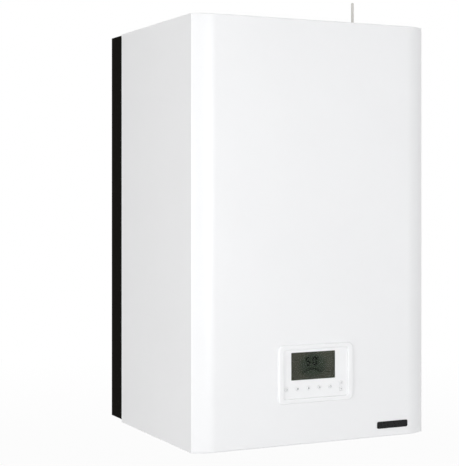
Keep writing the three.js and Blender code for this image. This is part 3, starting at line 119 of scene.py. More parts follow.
def make_lights():
    for name, (place, target, size, power) in LAMPS.items():
        data = bpy.data.lights.new(name, "AREA")
        data.shape = "RECTANGLE"
        data.size, data.size_y = size
        data.energy = power
        aim = Vector(target) - Vector(place)
        placed(name, data, place, aim.to_track_quat("-Z", "Y").to_euler())


def add_node(tree, kind, links=None, values=None, **settings):
    """A shader node with its settings, and with the links and values of its sockets."""
    new = tree.nodes.new(kind)
    for name, value in settings.items():
        setattr(new, name, value)
    for socket, source in (links or {}).items():
        tree.links.new(source, new.inputs[socket])
    for socket, value in (values or {}).items():
        new.inputs[socket].default_value = value
    return new


def map_range(tree, value, start, end):
    """A range of numbers mapped on another."""
    limits = dict(zip(("From Min", "From Max", "To Min", "To Max"), (*start, *end)))
    return add_node(tree, "ShaderNodeMapRange", {"Value": value}, limits).outputs["Result"]


def seen_share(tree):
    """1 for what the camera sees straight, mirrored or through glass, and 0 for light on the object."""
    path = add_node(tree, "ShaderNodeLightPath")
    total = path.outputs["Is Camera Ray"]
    for kind in ("Is Glossy Ray", "Is Transmission Ray"):
        links = {0: total, 1: path.outputs[kind]}
        total = add_node(tree, "ShaderNodeMath", links, operation="MAXIMUM").outputs[0]
    return total


def make_world():
    world = bpy.data.worlds.new("studio")
    bpy.context.scene.world = world
    world.use_nodes = True
    tree = world.node_tree
    tree.nodes.clear()
    fill, seen = [
        add_node(tree, "ShaderNodeBackground", None, {"Color": WHITE, "Strength": level}).outputs[0]
        for level in (FILL_LEVEL, 1.0)
    ]
    mix = add_node(tree, "ShaderNodeMixShader", {"Fac": seen_share(tree), 1: fill, 2: seen})
    add_node(tree, "ShaderNodeOutputWorld", {"Surface": mix.outputs[0]})


def make_floor():
    bpy.ops.mesh.primitive_plane_add(size=40, location=(0, 0, cad_box[0].z - FLOOR_DROP))
    floor = bpy.context.object
    floor.name = "floor"
    material = bpy.data.materials.new("floor")
    material.use_nodes = True
    tree = material.node_tree
    tree.nodes.clear()
    matt = add_node(tree, "ShaderNodeBsdfDiffuse", None, {"Color": (0.85, 0.85, 0.85, 1)})
    glow = add_node(tree, "ShaderNodeEmission", None, {"Color": WHITE, "Strength": 1.0})
    place = add_node(tree, "ShaderNodeNewGeometry").outputs["Position"]
    reach = add_node(tree, "ShaderNodeVectorMath", {0: place}, operation="LENGTH").outputs["Value"]
    links = {0: seen_share(tree), 1: map_range(tree, reach, FLOOR_NEAR, FLOOR_GLOW)}
    share = add_node(tree, "ShaderNodeMath", links, operation="MULTIPLY").outputs[0]
    mix = add_node(tree, "ShaderNodeMixShader", {"Fac": share, 1: matt.outputs[0], 2: glow.outputs[0]})
    add_node(tree, "ShaderNodeOutputMaterial", {"Surface": mix.outputs[0]})
    floor.data.materials.append(material)


make_camera()
make_world()
make_lights()
make_floor()
bpy.context.scene.view_settings.view_transform = "Standard"


# ---- Materials ----

made = {}
NOISE_SPAN = (0.3, 0.7)  # the middle part of a noise's values, which holds nearly all of them
LCD_GREEN = (0.029, 0.022)  # half the width and height of the display's green middle
LCD_LEAN = 0.0042  # how far left of the object's middle plane it is centred


def new_material(name, base, roughness, metallic=0.0, **more):
    """A material with its constants on the shader's own sockets. Returns its tree and its shader."""
    material = bpy.data.materials.new(name)
    material.use_nodes = True
    shader = material.node_tree.nodes["Principled BSDF"]
    shader.inputs["Base Color"].default_value = (*base, 1)
    shader.inputs["Roughness"].default_value = roughness
    shader.inputs["Metallic"].default_value = metallic
    for socket, value in more.items():
        shader.inputs[socket.replace("_", " ")].default_value = value
    made[name] = material
    return material.node_tree, shader


def own_place(tree):
    """A place in the piece's own metres."""
    return add_node(tree, "ShaderNodeTexCoord").outputs["Object"]


def noise(tree, scale, detail=3.0, roughness=0.5, stretch=None):
    """Noise in the piece's own metres; scale is in waves a metre."""
    place = own_place(tree)
    if stretch:
        place = add_node(tree, "ShaderNodeMapping", {"Vector": place}, {"Scale": stretch}).outputs["Vector"]
    values = {"Scale": scale, "Detail": detail, "Roughness": roughness}
    return add_node(tree, "ShaderNodeTexNoise", {"Vector": place}, values).outputs["Fac"]


def vary(tree, fac, socket, low, high):
    """Drives a number or a colour between two values."""
    if isinstance(low, float):
        tree.links.new(map_range(tree, fac, NOISE_SPAN, (low, high)), socket)
        return
    ramp = add_node(tree, "ShaderNodeValToRGB", {"Fac": fac})
    for stop, position, colour in zip(ramp.color_ramp.elements, NOISE_SPAN, (low, high)):
        stop.position = position
        stop.color = (*colour, 1)
    tree.links.new(ramp.outputs["Color"], socket)


def bump(tree, shader, height, strength, distance):
    values = {"Strength": strength, "Distance": distance}
    relief = add_node(tree, "ShaderNodeBump", {"Height": height}, values)
    tree.links.new(relief.outputs["Normal"], shader.inputs["Normal"])


def shade(colour, factor):
    return tuple(channel * factor for channel in colour)


def powder_coat(name, base, roughness, ripple=0.06, **more):
    """Sprayed and baked paint: a fine orange peel, slightly uneven gloss and colour."""
    tree, shader = new_material(name, base, roughness, **more)
    vary(tree, noise(tree, 6, 2), shader.inputs["Base Color"], shade(base, 0.988), base)
    vary(tree, noise(tree, 90, 4), shader.inputs["Roughness"], roughness - 0.03, roughness + 0.04)
    bump(tree, shader, noise(tree, 700, 2), ripple, 0.0004)


def plastic(name, base, roughness, grain=0.08, uneven=1.0, **more):
    """Moulded plastic: a fine spark-eroded grain, with a little unevenness in its colour and gloss."""
    tree, shader = new_material(name, base, roughness, **more)
    vary(tree, noise(tree, 25, 3), shader.inputs["Base Color"], shade(base, 1 - 0.03 * uneven), base)
    gloss = (roughness - 0.04 * uneven, roughness + 0.05 * uneven)
    vary(tree, noise(tree, 300, 3), shader.inputs["Roughness"], *gloss)
    bump(tree, shader, noise(tree, 1800, 2), grain, 0.0002)


def metal(name, base, roughness, dull=None, stretch=None, scale=60, ripple=0.05):
    """Bare metal: grain along one way, and duller patches."""
    tree, shader = new_material(name, base, roughness, 1.0)
    vary(tree, noise(tree, scale, 5, 0.6), shader.inputs["Base Color"], dull or shade(base, 0.8), base)
    grain = noise(tree, 220, 4, 0.6, stretch)
    vary(tree, grain, shader.inputs["Roughness"], roughness - 0.08, roughness + 0.1)
    bump(tree, shader, noise(tree, 900, 3, 0.6, stretch), ripple, 0.0003)


def liquid_crystal():
    """The display's dark green back, with a faint brown cast round its edges."""
    green, brown = (0.028, 0.0362, 0.0262), (0.095, 0.08, 0.068)
    tree, shader = new_material("lcd", green, 0.5, Specular_IOR_Level=0.1)
    low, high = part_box("display_window")
    wide, tall = LCD_GREEN
    ellipse = {1: (1 / wide, 0, 1 / tall), 2: (LCD_LEAN / wide, 0, -(low.z + high.z) / 2 / tall)}
    place = add_node(tree, "ShaderNodeVectorMath", {0: own_place(tree)}, ellipse, operation="MULTIPLY_ADD")
    reach = add_node(tree, "ShaderNodeVectorMath", {0: place.outputs["Vector"]}, operation="LENGTH")
    cast = map_range(tree, reach.outputs["Value"], (0.78, 1.2), (0, 0.34))
    colours = {"A": (*green, 1), "B": (*brown, 1)}
    tint = add_node(tree, "ShaderNodeMix", {"Factor": cast}, colours, data_type="RGBA")
    tree.links.new(tint.outputs["Result"], shader.inputs["Base Color"])


def foam():
    """Expanded beads, pressed together, with a skin."""
    base = (0.03, 0.031, 0.034)
    tree, shader = new_material("foam", base, 0.8)
    beads = add_node(tree, "ShaderNodeTexVoronoi", {"Vector": own_place(tree)}, {"Scale": 260})
    depth = beads.outputs["Distance"]
    vary(tree, depth, shader.inputs["Base Color"], shade(base, 1.5), shade(base, 0.7))
    bump(tree, shader, depth, 0.35, 0.0012)


def glass():
    look = {"Transmission_Weight": 1.0, "IOR": 1.12}
    tree, shader = new_material("display_glass", (0.9, 0.92, 0.9), 0.06, **look)
    vary(tree, noise(tree, 40, 2), shader.inputs["Roughness"], 0.04, 0.09)


def make_materials():
    powder_coat("white_paint", (0.88, 0.885, 0.895), 0.38)
    powder_coat("grey_paint", (0.9, 0.902, 0.908), 0.42)
    powder_coat("black_paint", (0.0088, 0.0081, 0.0068), 0.7, 0.12, Specular_IOR_Level=0.004)
    powder_coat("pump_paint", (0.2, 0.025, 0.02), 0.45, 0.25)
    powder_coat("red_paint", (0.42, 0.035, 0.028), 0.3, 0.1)
    plastic("white_plastic", (0.9, 0.905, 0.915), 0.3, 0.012, 0.2)
    plastic("black_plastic", (0.02, 0.021, 0.023), 0.42)
    plastic("red_plastic", (0.5, 0.02, 0.016), 0.38)
    plastic("blue_plastic", (0.02, 0.09, 0.36), 0.38)
    plastic("aerial_plastic", (0.69, 0.68, 0.645), 0.45)
    plastic("badge_black", (0.006, 0.0064, 0.0068), 0.28, 0.01, 0.3, Specular_IOR_Level=0.2)
    plastic("board", (0.012, 0.12, 0.05), 0.35)
    liquid_crystal()
    plastic("print", (0.2, 0.205, 0.21), 0.5, 0.02)
    plastic("lcd_ink", (0.0008, 0.0009, 0.0008), 0.7, 0.0, Specular_IOR_Level=0.0)
    metal("zinc", (0.62, 0.64, 0.66), 0.42, scale=140)
    metal("steel", (0.6, 0.61, 0.62), 0.32, stretch=(1, 1, 12))
    metal("brass", (0.72, 0.53, 0.24), 0.34)
    metal("copper", (0.78, 0.4, 0.25), 0.3, dull=(0.5, 0.2, 0.12))
    foam()
    glass()


make_materials()
slot_of = {row["node"]: row["material_slot"] for row in frame["record"]["subparts"]}


# ---- Outlines and places, in millimetres ----


def mm_box(node):
    low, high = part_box(node)
    return low / MM, high / MM


def centre_of(node):
    low, high = mm_box(node)
    return (low + high) / 2


def plan(node):
    """Where a node's middle is in plan."""
    return centre_of(node).xy


def polar(centre, angle, along, across=0.0):
    """A place in a plane: so far from a centre along a direction, and so far to its left."""
    cos, sin = math.cos(angle), math.sin(angle)
    return (centre[0] + along * cos - across * sin, centre[1] + along * sin + across * cos)


def spots(count, centre, radius, shift=0.0):
    """Places evenly round a centre; shift moves them by a share of a step."""
    return [polar(centre, 2 * math.pi * (i + shift) / count, radius) for i in range(count)]


def arc(centre, radius, start, end, steps=10):
    """Points of an arc in a plane, between two angles in degrees."""
    return [polar(centre, math.radians(start + (end - start) * i / steps), radius) for i in range(steps + 1)]


def about(middle, half):
    """The limits at half a width to each side of a middle."""
    return (middle - half, middle + half)


def bar(x, z, half_wide, half_high):
    """The corners of a rectangle round a middle."""
    (left, right), (low, high) = about(x, half_wide), about(z, half_high)
    return [(left, low), (right, low), (right, high), (left, high)]


def rounded_rectangle(wide, high, corner, x=0.0, z=0.0, steps=8):
    """Points round a rectangle with round corners, as seen from the front."""
    points = []
    for turn, (side, end) in enumerate(((1, 1), (-1, 1), (-1, -1), (1, -1))):
        centre = (x + side * (wide / 2 - corner), z + end * (high / 2 - corner))
        points += arc(centre, corner, 90 * turn, 90 * turn + 90, steps)
    return points


def raised(base, *rows):
    """Rows of a profile, (radius, distance along), with their distances counted from a base."""
    return [(radius, base + along) for radius, along in rows]


def thread(radius, low, high, pitch=1.8, depth=0.8):
    """A turned profile's run of thread."""
    rows = []
    z = low
    while z + pitch <= high:
        rows += [(radius, z + pitch * 0.15), (radius, z + pitch * 0.3)]
        rows += [(radius - depth, z + pitch * 0.7), (radius - depth, z + pitch * 0.85)]
        z += pitch
    return rows


def inset_loops(rows, wide, high, corner, middle, ease, steps=8):
    """Rings round a rounded rectangle, one for each (inset, depth). Its corner shrinks by ease times the inset."""
    rings = []
    for inset, depth in rows:
        size = (wide - 2 * inset, high - 2 * inset, corner - inset * ease)
        rings.append([(x, depth, z) for x, z in rounded_rectangle(*size, *middle, steps)])
    return rings


# ---- Meshes, in millimetres ----

AXES = {
    "x": Matrix(((0, 0, 1), (1, 0, 0), (0, 1, 0))),
    "y": Matrix(((1, 0, 0), (0, 0, 1), (0, -1, 0))),
    "z": Matrix.Identity(3),
}


def closed(bm):
    bmesh.ops.recalc_face_normals(bm, faces=bm.faces)
    return bm


def skin(rings, round_trip=False):
    """Joins rings of points, each with as many points, by quads. The ends are closed by one face each."""
    bm = bmesh.new()
    loops = [[bm.verts.new(point) for point in ring] for ring in rings]
    count = len(loops[0])
    pairs = list(zip(loops, loops[1:]))
    if round_trip:
        pairs.append((loops[-1], loops[0]))
    for one, other in pairs:
        for i in range(count):
            j = (i + 1) % count
            bm.faces.new((one[i], one[j], other[j], other[i]))
    if not round_trip:
        bm.faces.new(loops[0][::-1])
        bm.faces.new(loops[-1])
    return closed(bm)


def slab(outline, front, back):
    """An outline drawn as seen from the front, between two depths."""
    return skin([[(x, y, z) for x, z in outline] for y in (front, back)])


def marks(outlines, middle, front, back):
    """Outlines drawn round a middle as seen from the front, each as a slab of its own."""
    return [slab([(middle.x + x, middle.z + z) for x, z in outline], front, back) for outline in outlines]


def prism(outline, low, high):
    """An outline in plan, between two heights."""
    return skin([[(x, y, z) for x, y in outline] for z in (low, high)])


def hand(centre, angle, shape, low, high):
    """A shape drawn along a direction in plan, between two heights."""
    return prism([polar(centre, angle, *row) for row in shape], low, high)


def block(x, y, z):
    """A block between two limits on each axis."""
    (x0, x1), (y0, y1) = sorted(x), sorted(y)
    return prism([(x0, y0), (x1, y0), (x1, y1), (x0, y1)], *sorted(z))


def on_axis(axis, centre, angle, radius, along):
    """A point about an axis through a centre. A centre in plan is one at height 0."""
    return Vector((*centre, 0)[:3]) + AXES[axis] @ Vector((*polar((0, 0), angle, radius), along))


def turned(axis, centre, profile, steps=48, hollow=False):
    """A profile of (radius, distance along the axis) turned round it. A hollow one closes on itself."""
    angles = [2 * math.pi * i / steps for i in range(steps)]
    return skin([[on_axis(axis, centre, a, *row) for a in angles] for row in profile], hollow)


def cylinder(axis, centre, radius, low, high, steps=32):
    return turned(axis, centre, [(radius, low), (radius, high)], steps)


def nut(axis, centre, corner, low, high, turn=0.0):
    """A hexagon with its corners chamfered at both ends; turn is the direction of a corner in degrees."""
    ease = min(corner * 0.07, (high - low) * 0.3)
    flat = corner * math.cos(math.pi / 6)
    rings = []
    for along, cap in ((low, 0.9), (low + ease, 1), (high - ease, 1), (high, 0.9)):
        ring = []
        for i in range(48):
            angle = 2 * math.pi * i / 48
            beside = math.radians((math.degrees(angle) - turn) % 60 - 30)
            ring.append(on_axis(axis, centre, angle, min(flat / math.cos(beside), corner * cap), along))
        rings.append(ring)
    return skin(rings)


def tube(corners, radius, bend, sides=24, steps=10):
    """Straight runs between corners, with a round bend at each."""
    points = [Vector(corner) for corner in corners]
    path = [(points[0], (points[1] - points[0]).normalized())]
    for before, here, after in zip(points, points[1:], points[2:]):
        way_in, way_out = (here - before).normalized(), (after - here).normalized()
        turn = way_in.angle(way_out)
        side = (way_out - way_in * math.cos(turn)).normalized()
        start = here - way_in * bend * math.tan(turn / 2)
        for i in range(steps + 1):
            a = turn * i / steps
            point = start + way_in * bend * math.sin(a) + side * bend * (1 - math.cos(a))
            path.append((point, way_in * math.cos(a) + side * math.sin(a)))
    path.append((points[-1], (points[-1] - points[-2]).normalized()))
    across = path[0][1].orthogonal()
    angles = [2 * math.pi * i / sides for i in range(sides)]
    rings = []
    for point, way in path:
        across = (across - way * across.dot(way)).normalized()
        other = way.cross(across)
        rings.append([point + radius * (math.cos(a) * across + math.sin(a) * other) for a in angles])
    return skin(rings)


def merged(*parts):
    """Several meshes as one."""
    whole = bmesh.new()
    for part in parts:
        mesh = bpy.data.meshes.new("part")
        part.to_mesh(mesh)
        part.free()
        whole.from_mesh(mesh)
        bpy.data.meshes.remove(mesh)
    return whole


def soften(bm, width, segments=2, angle=40):
    """Rounds the outside edges that are sharper than an angle. Inside ones stay, so that bores stay clear."""
    sharp = [
        edge for edge in bm.edges
        if len(edge.link_faces) == 2 and edge.is_convex and edge.calc_face_angle() > math.radians(angle)
    ]
    bmesh.ops.bevel(
        bm, geom=sharp, offset=width, segments=segments, profile=0.5, affect="EDGES", clamp_overlap=True
    )
    return bm


def scaled(bm, factor):
    bmesh.ops.scale(bm, vec=(factor, factor, factor), verts=bm.verts)
    return bm


def in_mm(mesh):
    """A mesh that is in metres, in millimetres."""
    bm = bmesh.new()
    bm.from_mesh(mesh)
    return scaled(bm, 1 / MM)


def node_mesh(node):
    """A node's own form, with the triangles of its flat faces joined."""
    bm = in_mm(frame["nodes"][node].data)
    bmesh.ops.remove_doubles(bm, verts=bm.verts, dist=0.01)
    bmesh.ops.dissolve_limit(bm, angle_limit=math.radians(0.5), verts=bm.verts, edges=bm.edges)
    return bm


# ---- Objects, in metres ----


def new_object(bm):
    """A mesh in millimetres as an object in metres."""
    mesh = bpy.data.meshes.new("piece")
    scaled(bm, MM).to_mesh(mesh)
    bm.free()
    return placed("piece", mesh)


def settle(piece):
    """Applies the modifiers of a piece."""
    graph = bpy.context.evaluated_depsgraph_get()
    mesh = bpy.data.meshes.new_from_object(piece.evaluated_get(graph))
    piece.modifiers.clear()
    piece.data = mesh


def carve(piece, *tools, how="DIFFERENCE"):
    """Cuts tools away from a piece, or joins them to it, one after another."""
    for bm in tools:
        tool = new_object(bm)
        modifier = piece.modifiers.new("carve", "BOOLEAN")
        modifier.operation = how
        modifier.solver = "EXACT"
        modifier.object = tool
        settle(piece)
        bpy.data.objects.remove(tool)
    return piece


def shaped(base, joins, cuts):
    """A mesh with others joined to it, and then others cut away."""
    return carve(carve(new_object(base), *joins, how="UNION"), *cuts)


def bevel(piece, width, segments=2):
    modifier = piece.modifiers.new("soft edges", "BEVEL")
    modifier.width = width * MM
    modifier.segments = segments
    modifier.limit_method = "ANGLE"
    modifier.angle_limit = math.radians(40)
    modifier.use_clamp_overlap = False
    settle(piece)
    return piece


def add(piece, *parts):
    """Adds more closed shells to a piece's own mesh."""
    more = new_object(merged(*parts))
    whole = bmesh.new()
    for mesh in (piece.data, more.data):
        whole.from_mesh(mesh)
    whole.to_mesh(piece.data)
    whole.free()
    bpy.data.objects.remove(more)
    return piece


def nut_ring(place, corner, hole, low, high):
    """A hexagon with a round hole, along Z."""
    piece = new_object(nut("z", place, corner, low, high, 90))
    bm = in_mm(carve(piece, cylinder("z", place, hole, low - 1, high + 1, 40)).data)
    bpy.data.objects.remove(piece)
    return bm


def body_of(node):
    return frame["nodes"][node]["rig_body"]


CASING = body_of("rear_frame")
COVER = body_of("front_cover")


def dress(name, parts, slot, body, nodes=(), angle=32, look=None):
    """Makes a piece of meshes, or of one object, and smooths it.
    It gets its finish and its body, and the nodes that it stands for are hidden."""
    piece = parts[0]
    if isinstance(piece, bmesh.types.BMesh):
        piece = new_object(merged(*parts))
    piece.name = name
    piece.data.shade_smooth()
    piece.data.set_sharp_from_angle(angle=math.radians(angle))
    piece.modifiers.new("even shading", "WEIGHTED_NORMAL").keep_sharp = True
    piece.data.materials.clear()
    piece.data.materials.append(made[look or slot])
    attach(piece, body)
    if nodes:
        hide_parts(*nodes)


def stand_in(node, *parts, angle=32):
    """A finer piece in the place of one node, with the finish of that node's slot, and with its body."""
    dress(node + "_fine", parts, slot_of[node], body_of(node), (node,), angle)


def detail(name, slot, *parts, body=CASING, look=None):
    """A small piece of its own, such as a mark or a trim."""
    dress(name, parts, slot, body, look=look)


def softened(node, width, segments=2, angle=42):
    """A node's own form with its sharp edges rounded."""
    stand_in(node, soften(node_mesh(node), width, segments, angle), angle=angle)


def button(node, profile, steps):
    """A button turned round its own line, from its front; the profile's last radius runs to its back."""
    low, high = mm_box(node)
    x, _, z = centre_of(node)
    stem = (profile[-1][0], high.y - low.y)
    stand_in(node, turned("y", (x, low.y, z), [*profile, stem], steps))


# ---- Casing ----

SHEET = 1.2
GAP = 0.3
EDGE_ACROSS = 43  # the front's turned edges: their width, how far they turn back, and their steps
EDGE_BACK = 15
EDGE_STEPS = 28
HEM = 3  # outer radius where the front turns into its top and bottom flanges
HEM_STEPS = 6
SCREW_X = 150
SCREW_BACK = 12  # the cover's screws, behind its seam
TONGUE = 24  # how far the cover's tongues reach inside the top and bottom panels
LIP = 12  # how far its side lips reach inside the side panels
FLANGE = 15  # the height of the end panels' side flanges
FLANGE_REAR = -74.3
GROOVE = 0.7  # how deep the rear frame's grooves are
TAIL_Y = -110  # the tails, and what stands in line with them
RELIEF = (-116.2, TAIL_Y, -330)  # where the relief valve's two axes cross


def front_outline():
    """Points and outward headings along the front in plan, from its left seam to its right one."""
    low, high = mm_box("front_cover")
    radius = (EDGE_ACROSS ** 2 + EDGE_BACK ** 2) / (2 * EDGE_BACK)
    sweep = 2 * math.atan(EDGE_BACK / EDGE_ACROSS)
    rows = []
    for side, start in ((-1, -sweep), (1, 0)):
        centre = Vector((side * (high.x - EDGE_ACROSS), low.y + radius))
        for i in range(EDGE_STEPS + 1):
            angle = start + sweep * i / EDGE_STEPS
            heading = Vector((math.sin(angle), -math.cos(angle)))
            rows.append((centre + radius * heading, heading))
    return rows


def cover_skin():
    """The front sheet with its hems: a closed section, swept along the outline in plan."""
    low, high = mm_box("front_cover")
    seam = low.y + EDGE_BACK
    turn = [math.pi / 2 * i / HEM_STEPS for i in range(HEM_STEPS + 1)]
    rings = []
    for point, heading in front_outline():
        hem = min(HEM, max(0, 0.9 * (seam - point.y) / -heading.y))  # runs out at the seams
        outer = [(hem * (1 - math.sin(a)), low.z + hem * (1 - math.cos(a))) for a in turn]
        outer += [(hem * (1 - math.cos(a)), high.z - hem * (1 - math.sin(a))) for a in turn]
        inner = point - heading * SHEET
        ring = [(inner.x, seam, low.z)]
        ring += [(*(point - heading * inset), z) for inset, z in outer]
        ring += [(inner.x, seam, high.z), (inner.x, seam, high.z - SHEET)]
        ring += [(inner.x, min(inner.y, seam), z) for z in (high.z - SHEET, low.z + SHEET)]
        ring.append((inner.x, seam, low.z + SHEET))
        rings.append(ring)
    bm = skin(rings)
    bmesh.ops.remove_doubles(bm, verts=bm.verts, dist=0.001)
    return closed(bm)


def front_cover():
    """The cover: its skin with the panel's opening, a lip down each side, and a tongue at each end."""
    low, high = mm_box("front_cover")
    seam = low.y + EDGE_BACK
    behind = seam - SHEET
    inside = high.x - SHEET - GAP
    opening = rounded_rectangle(FACE_WIDE + 4.6, FACE_HIGH + 4.6, FACE_CORNER + 2, PANEL_X, PANEL_Z)
    cover = carve(new_object(cover_skin()), slab(opening, low.y - 1, low.y + 3))
    lips = [
        block((side * inside, side * (inside - SHEET)), (behind, seam + LIP), (low.z + 1.5, high.z - 1.5))
        for side in (-1, 1)
    ]
    reach = inside - SHEET - 12
    slot = 2.3
    root, tip = behind + 0.2, seam + TONGUE
    tongue = [(-reach, root), (reach, root), (reach, tip - 4), (reach - 4, tip)]
    for x in (SCREW_X, -SCREW_X):
        tongue += [(x + slot, tip), *arc((x, seam + SCREW_BACK), slot, 0, -180), (x - slot, tip)]
    tongue += [(4 - reach, tip), (-reach, tip - 4)]
    bends = [
        block((-reach, reach), (behind, seam), limits)
        for limits in ((low.z, low.z + 2.7), (high.z - 2.7, high.z))
    ]
    tongues = [prism(tongue, z, z + SHEET) for z in (low.z + 1.5, high.z - 2.7)]
    stand_in("front_cover", add(cover, *lips, *bends, *tongues))


def side_panels():
    """Flat sheets with their edges rounded."""
    for name in ("side_panel_left", "side_panel_right"):
        stand_in(name, soften(block(*zip(*mm_box(name))), 0.45, 3))


def rear_frame():
    """The pocketed frame, with stiffening grooves pressed into its back and rivets down its sides."""
    high = mm_box("rear_frame")[1]
    outlines = [rounded_rectangle(400, 14, 6.9, 0, z) for z in range(-330, 231, 80)]
    outlines += [rounded_rectangle(14, 640, 6.9, x, -20) for x in (-225, 225)]
    grooves = [slab(outline, high.y - GROOVE, high.y + 1) for outline in outlines]
    stand_in("rear_frame", carve(new_object(soften(node_mesh("rear_frame"), 0.5)), merged(*grooves)))
    dome = [(3.4, 0), (3.2, 0.5), (2.4, 0.9), (1.0, 1.1)]
    rivets = [
        turned("x", (side * (high.x - 1.4), high.y - 30, z), [(r, side * a) for r, a in dome], 20)
        for side in (-1, 1) for z in range(-360, 361, 180)
    ]
    detail("frame_rivets", "black_paint", *rivets)


def end_panels():
    """The top and bottom sheets with their holes, and a flange down each side."""
    below = {
        "tail_heating_flow": 15.5, "tail_return": 15.5, "tail_cold": 12, "tail_hot": 12,
        "cable_gland": 10.3, "gauge_body": 20.3, "cover_screw_left": 2.3, "cover_screw_right": 2.3,
    }
    for name, inward, radii in (("top_panel", -1, {"antenna": 4.3}), ("bottom_panel", 1, below)):
        low, high = mm_box(name)
        outside = high.z if inward < 0 else low.z
        levels = sorted((outside, outside + inward * SHEET))
        holes = [(plan(node), radius) for node, radius in radii.items()]
        if inward > 0:
            holes.append((RELIEF[:2], 12))
        tools = [cylinder("z", place, radius, levels[0] - 1, levels[1] + 1, 48) for place, radius in holes]
        sheet = new_object(block((low.x, high.x), (low.y, high.y), levels))
        bevel(carve(sheet, merged(*tools)), 0.25)
        height = (outside + inward * 0.1, outside + inward * FLANGE)
        flanges = [
            soften(block((side * high.x, side * (high.x - SHEET)), (low.y + 12.3, FLANGE_REAR), height), 0.3)
            for side in (-1, 1)
        ]
        stand_in(name, add(sheet, *flanges))


def cover_screws():
    """Pan heads with a slot, on threaded shanks."""
    pitch = 0.8
    for name in ("cover_screw_left", "cover_screw_right"):
        low, high = mm_box(name)
        x, y = plan(name)
        profile = raised(low.z, (3.6, 0), (4.5, 0.35), (5, 1.1), (5, 3), (2, 3))
        for i in range(int((high.z - low.z - 4) / pitch)):
            profile += raised(low.z + 3.4 + pitch * i, (2.0, 0), (1.65, pitch / 2))
        screw = new_object(turned("z", (x, y), [*profile, (1.2, high.z)], 32))
        slot = block(about(x, 6), about(y, 0.6), (low.z - 1, low.z + 1.2))
        stand_in(name, carve(screw, slot))


# ---- Control panel, badge and aerial ----

PANEL_X, PANEL_Z = 1, -267  # the control panel's middle
FACE_WIDE, FACE_HIGH, FACE_CORNER = 138, 92, 5
BEZEL_SIDE, BEZEL_END, BEZEL_CORNER = 12, 9, 11
KEYS = ["button_%d" % i for i in range(1, 6)] + ["button_up", "button_down"]
SEGMENTS = {  # the middle of each bar of a digit 1 wide and 2 high
    "a": (0.5, 2), "b": (1, 1.5), "c": (1, 0.5), "d": (0.5, 0), "e": (0, 0.5), "f": (0, 1.5), "g": (0.5, 1),
}
BAR_LONG, BAR_THICK = 0.36, 0.2  # half of a bar's length and thickness, in the same unit


def panel_loop(inset, y):
    """Points round the panel at an inset; the bezel's sides and ends narrow together."""
    share = inset / BEZEL_SIDE
    wide = FACE_WIDE + 2 * BEZEL_SIDE * (1 - share)
    high = FACE_HIGH + 2 * BEZEL_END * (1 - share)
    corner = BEZEL_CORNER + (FACE_CORNER - BEZEL_CORNER) * share
    return [(x, y, z) for x, z in rounded_rectangle(wide, high, corner, PANEL_X, PANEL_Z, 12)]


def bezel():
    """A frame with a full outer roll and a softer inner one, and its skirt behind the cover."""
    front = mm_box("panel_bezel")[0].y
    outer, inner = 3.2, 2.6
    profile = [(0, front + 3.5), *arc((outer, front + outer), outer, 180, 270, 9)]
    profile += arc((BEZEL_SIDE - inner, front + inner), inner, -90, 0, 9)
    profile += raised(front, (12, 5.6), (13, 5.6), (13, 15.8), (10, 15.8), (10, 3.5))
    stand_in("panel_bezel", skin([panel_loop(*row) for row in profile], round_trip=True))


def face():
    """The face plate, with the display's opening and a hole for each key."""
    low, high = mm_box("panel_face")
    window = centre_of("display_window")
    through = (low.y - 1, high.y + 1)
    outline = rounded_rectangle(FACE_WIDE - 0.16, FACE_HIGH - 0.16, FACE_CORNER, PANEL_X, PANEL_Z, 12)
    opening = slab(rounded_rectangle(95, 52, 1.4, window.x, window.z), *through)
    holes = [cylinder("y", (centre_of(key).x, 0, centre_of(key).z), 4.1, *through) for key in KEYS]
    plate = carve(new_object(slab(outline, low.y, high.y)), merged(opening, *holes))
    stand_in("panel_face", bevel(plate, 0.45, 3))


def keys():
    cap = [(1.4, 0), (2.5, 0.07), (3.2, 0.25), (3.65, 0.62), (3.8, 1.1), (3.8, 3.1), (4.6, 3.1), (4.6, 4.1)]
    for key in KEYS:
        button(key, [*cap, (1.5, 4.1)], 40)


def key_marks():
    """A small plain sign on each key, as printed: on and off, heating, tap, list, clock, up and down."""
    front = mm_box("button_1")[0].y - 0.03

    def band(radius, start, end, half=0.24):
        return arc((0, 0), radius + half, start, end, 24) + arc((0, 0), radius - half, end, start, 24)

    signs = {
        "button_1": [band(1.75, 125, 415), bar(0, 1.3, 0.26, 1.05)],
        "button_2": [bar(x, 0, 0.24, 1.7) for x in (-1.5, -0.5, 0.5, 1.5)] + [bar(0, -1.2, 1.5, 0.2)],
        "button_3": [arc((0, -0.5), 1.25, 160, 380, 20) + [(0, 2.2)]],
        "button_4": [bar(0, z, 1.7, 0.26) for z in (-1.2, 0, 1.2)],
        "button_5": [band(1.7, 0, 359.9), bar(0, 0.55, 0.2, 0.6), bar(0.5, 0, 0.5, 0.2)],
        "button_up": [[(-1.9, -0.7), (1.9, -0.7), (0, 1.1)]],
        "button_down": [[(-1.9, 0.7), (0, -1.1), (1.9, 0.7)]],
    }
    for key, outlines in signs.items():
        parts = marks(outlines, centre_of(key), front, front + 0.35)
        detail(key + "_sign", "black_plastic", *parts, body=body_of(key), look="print")


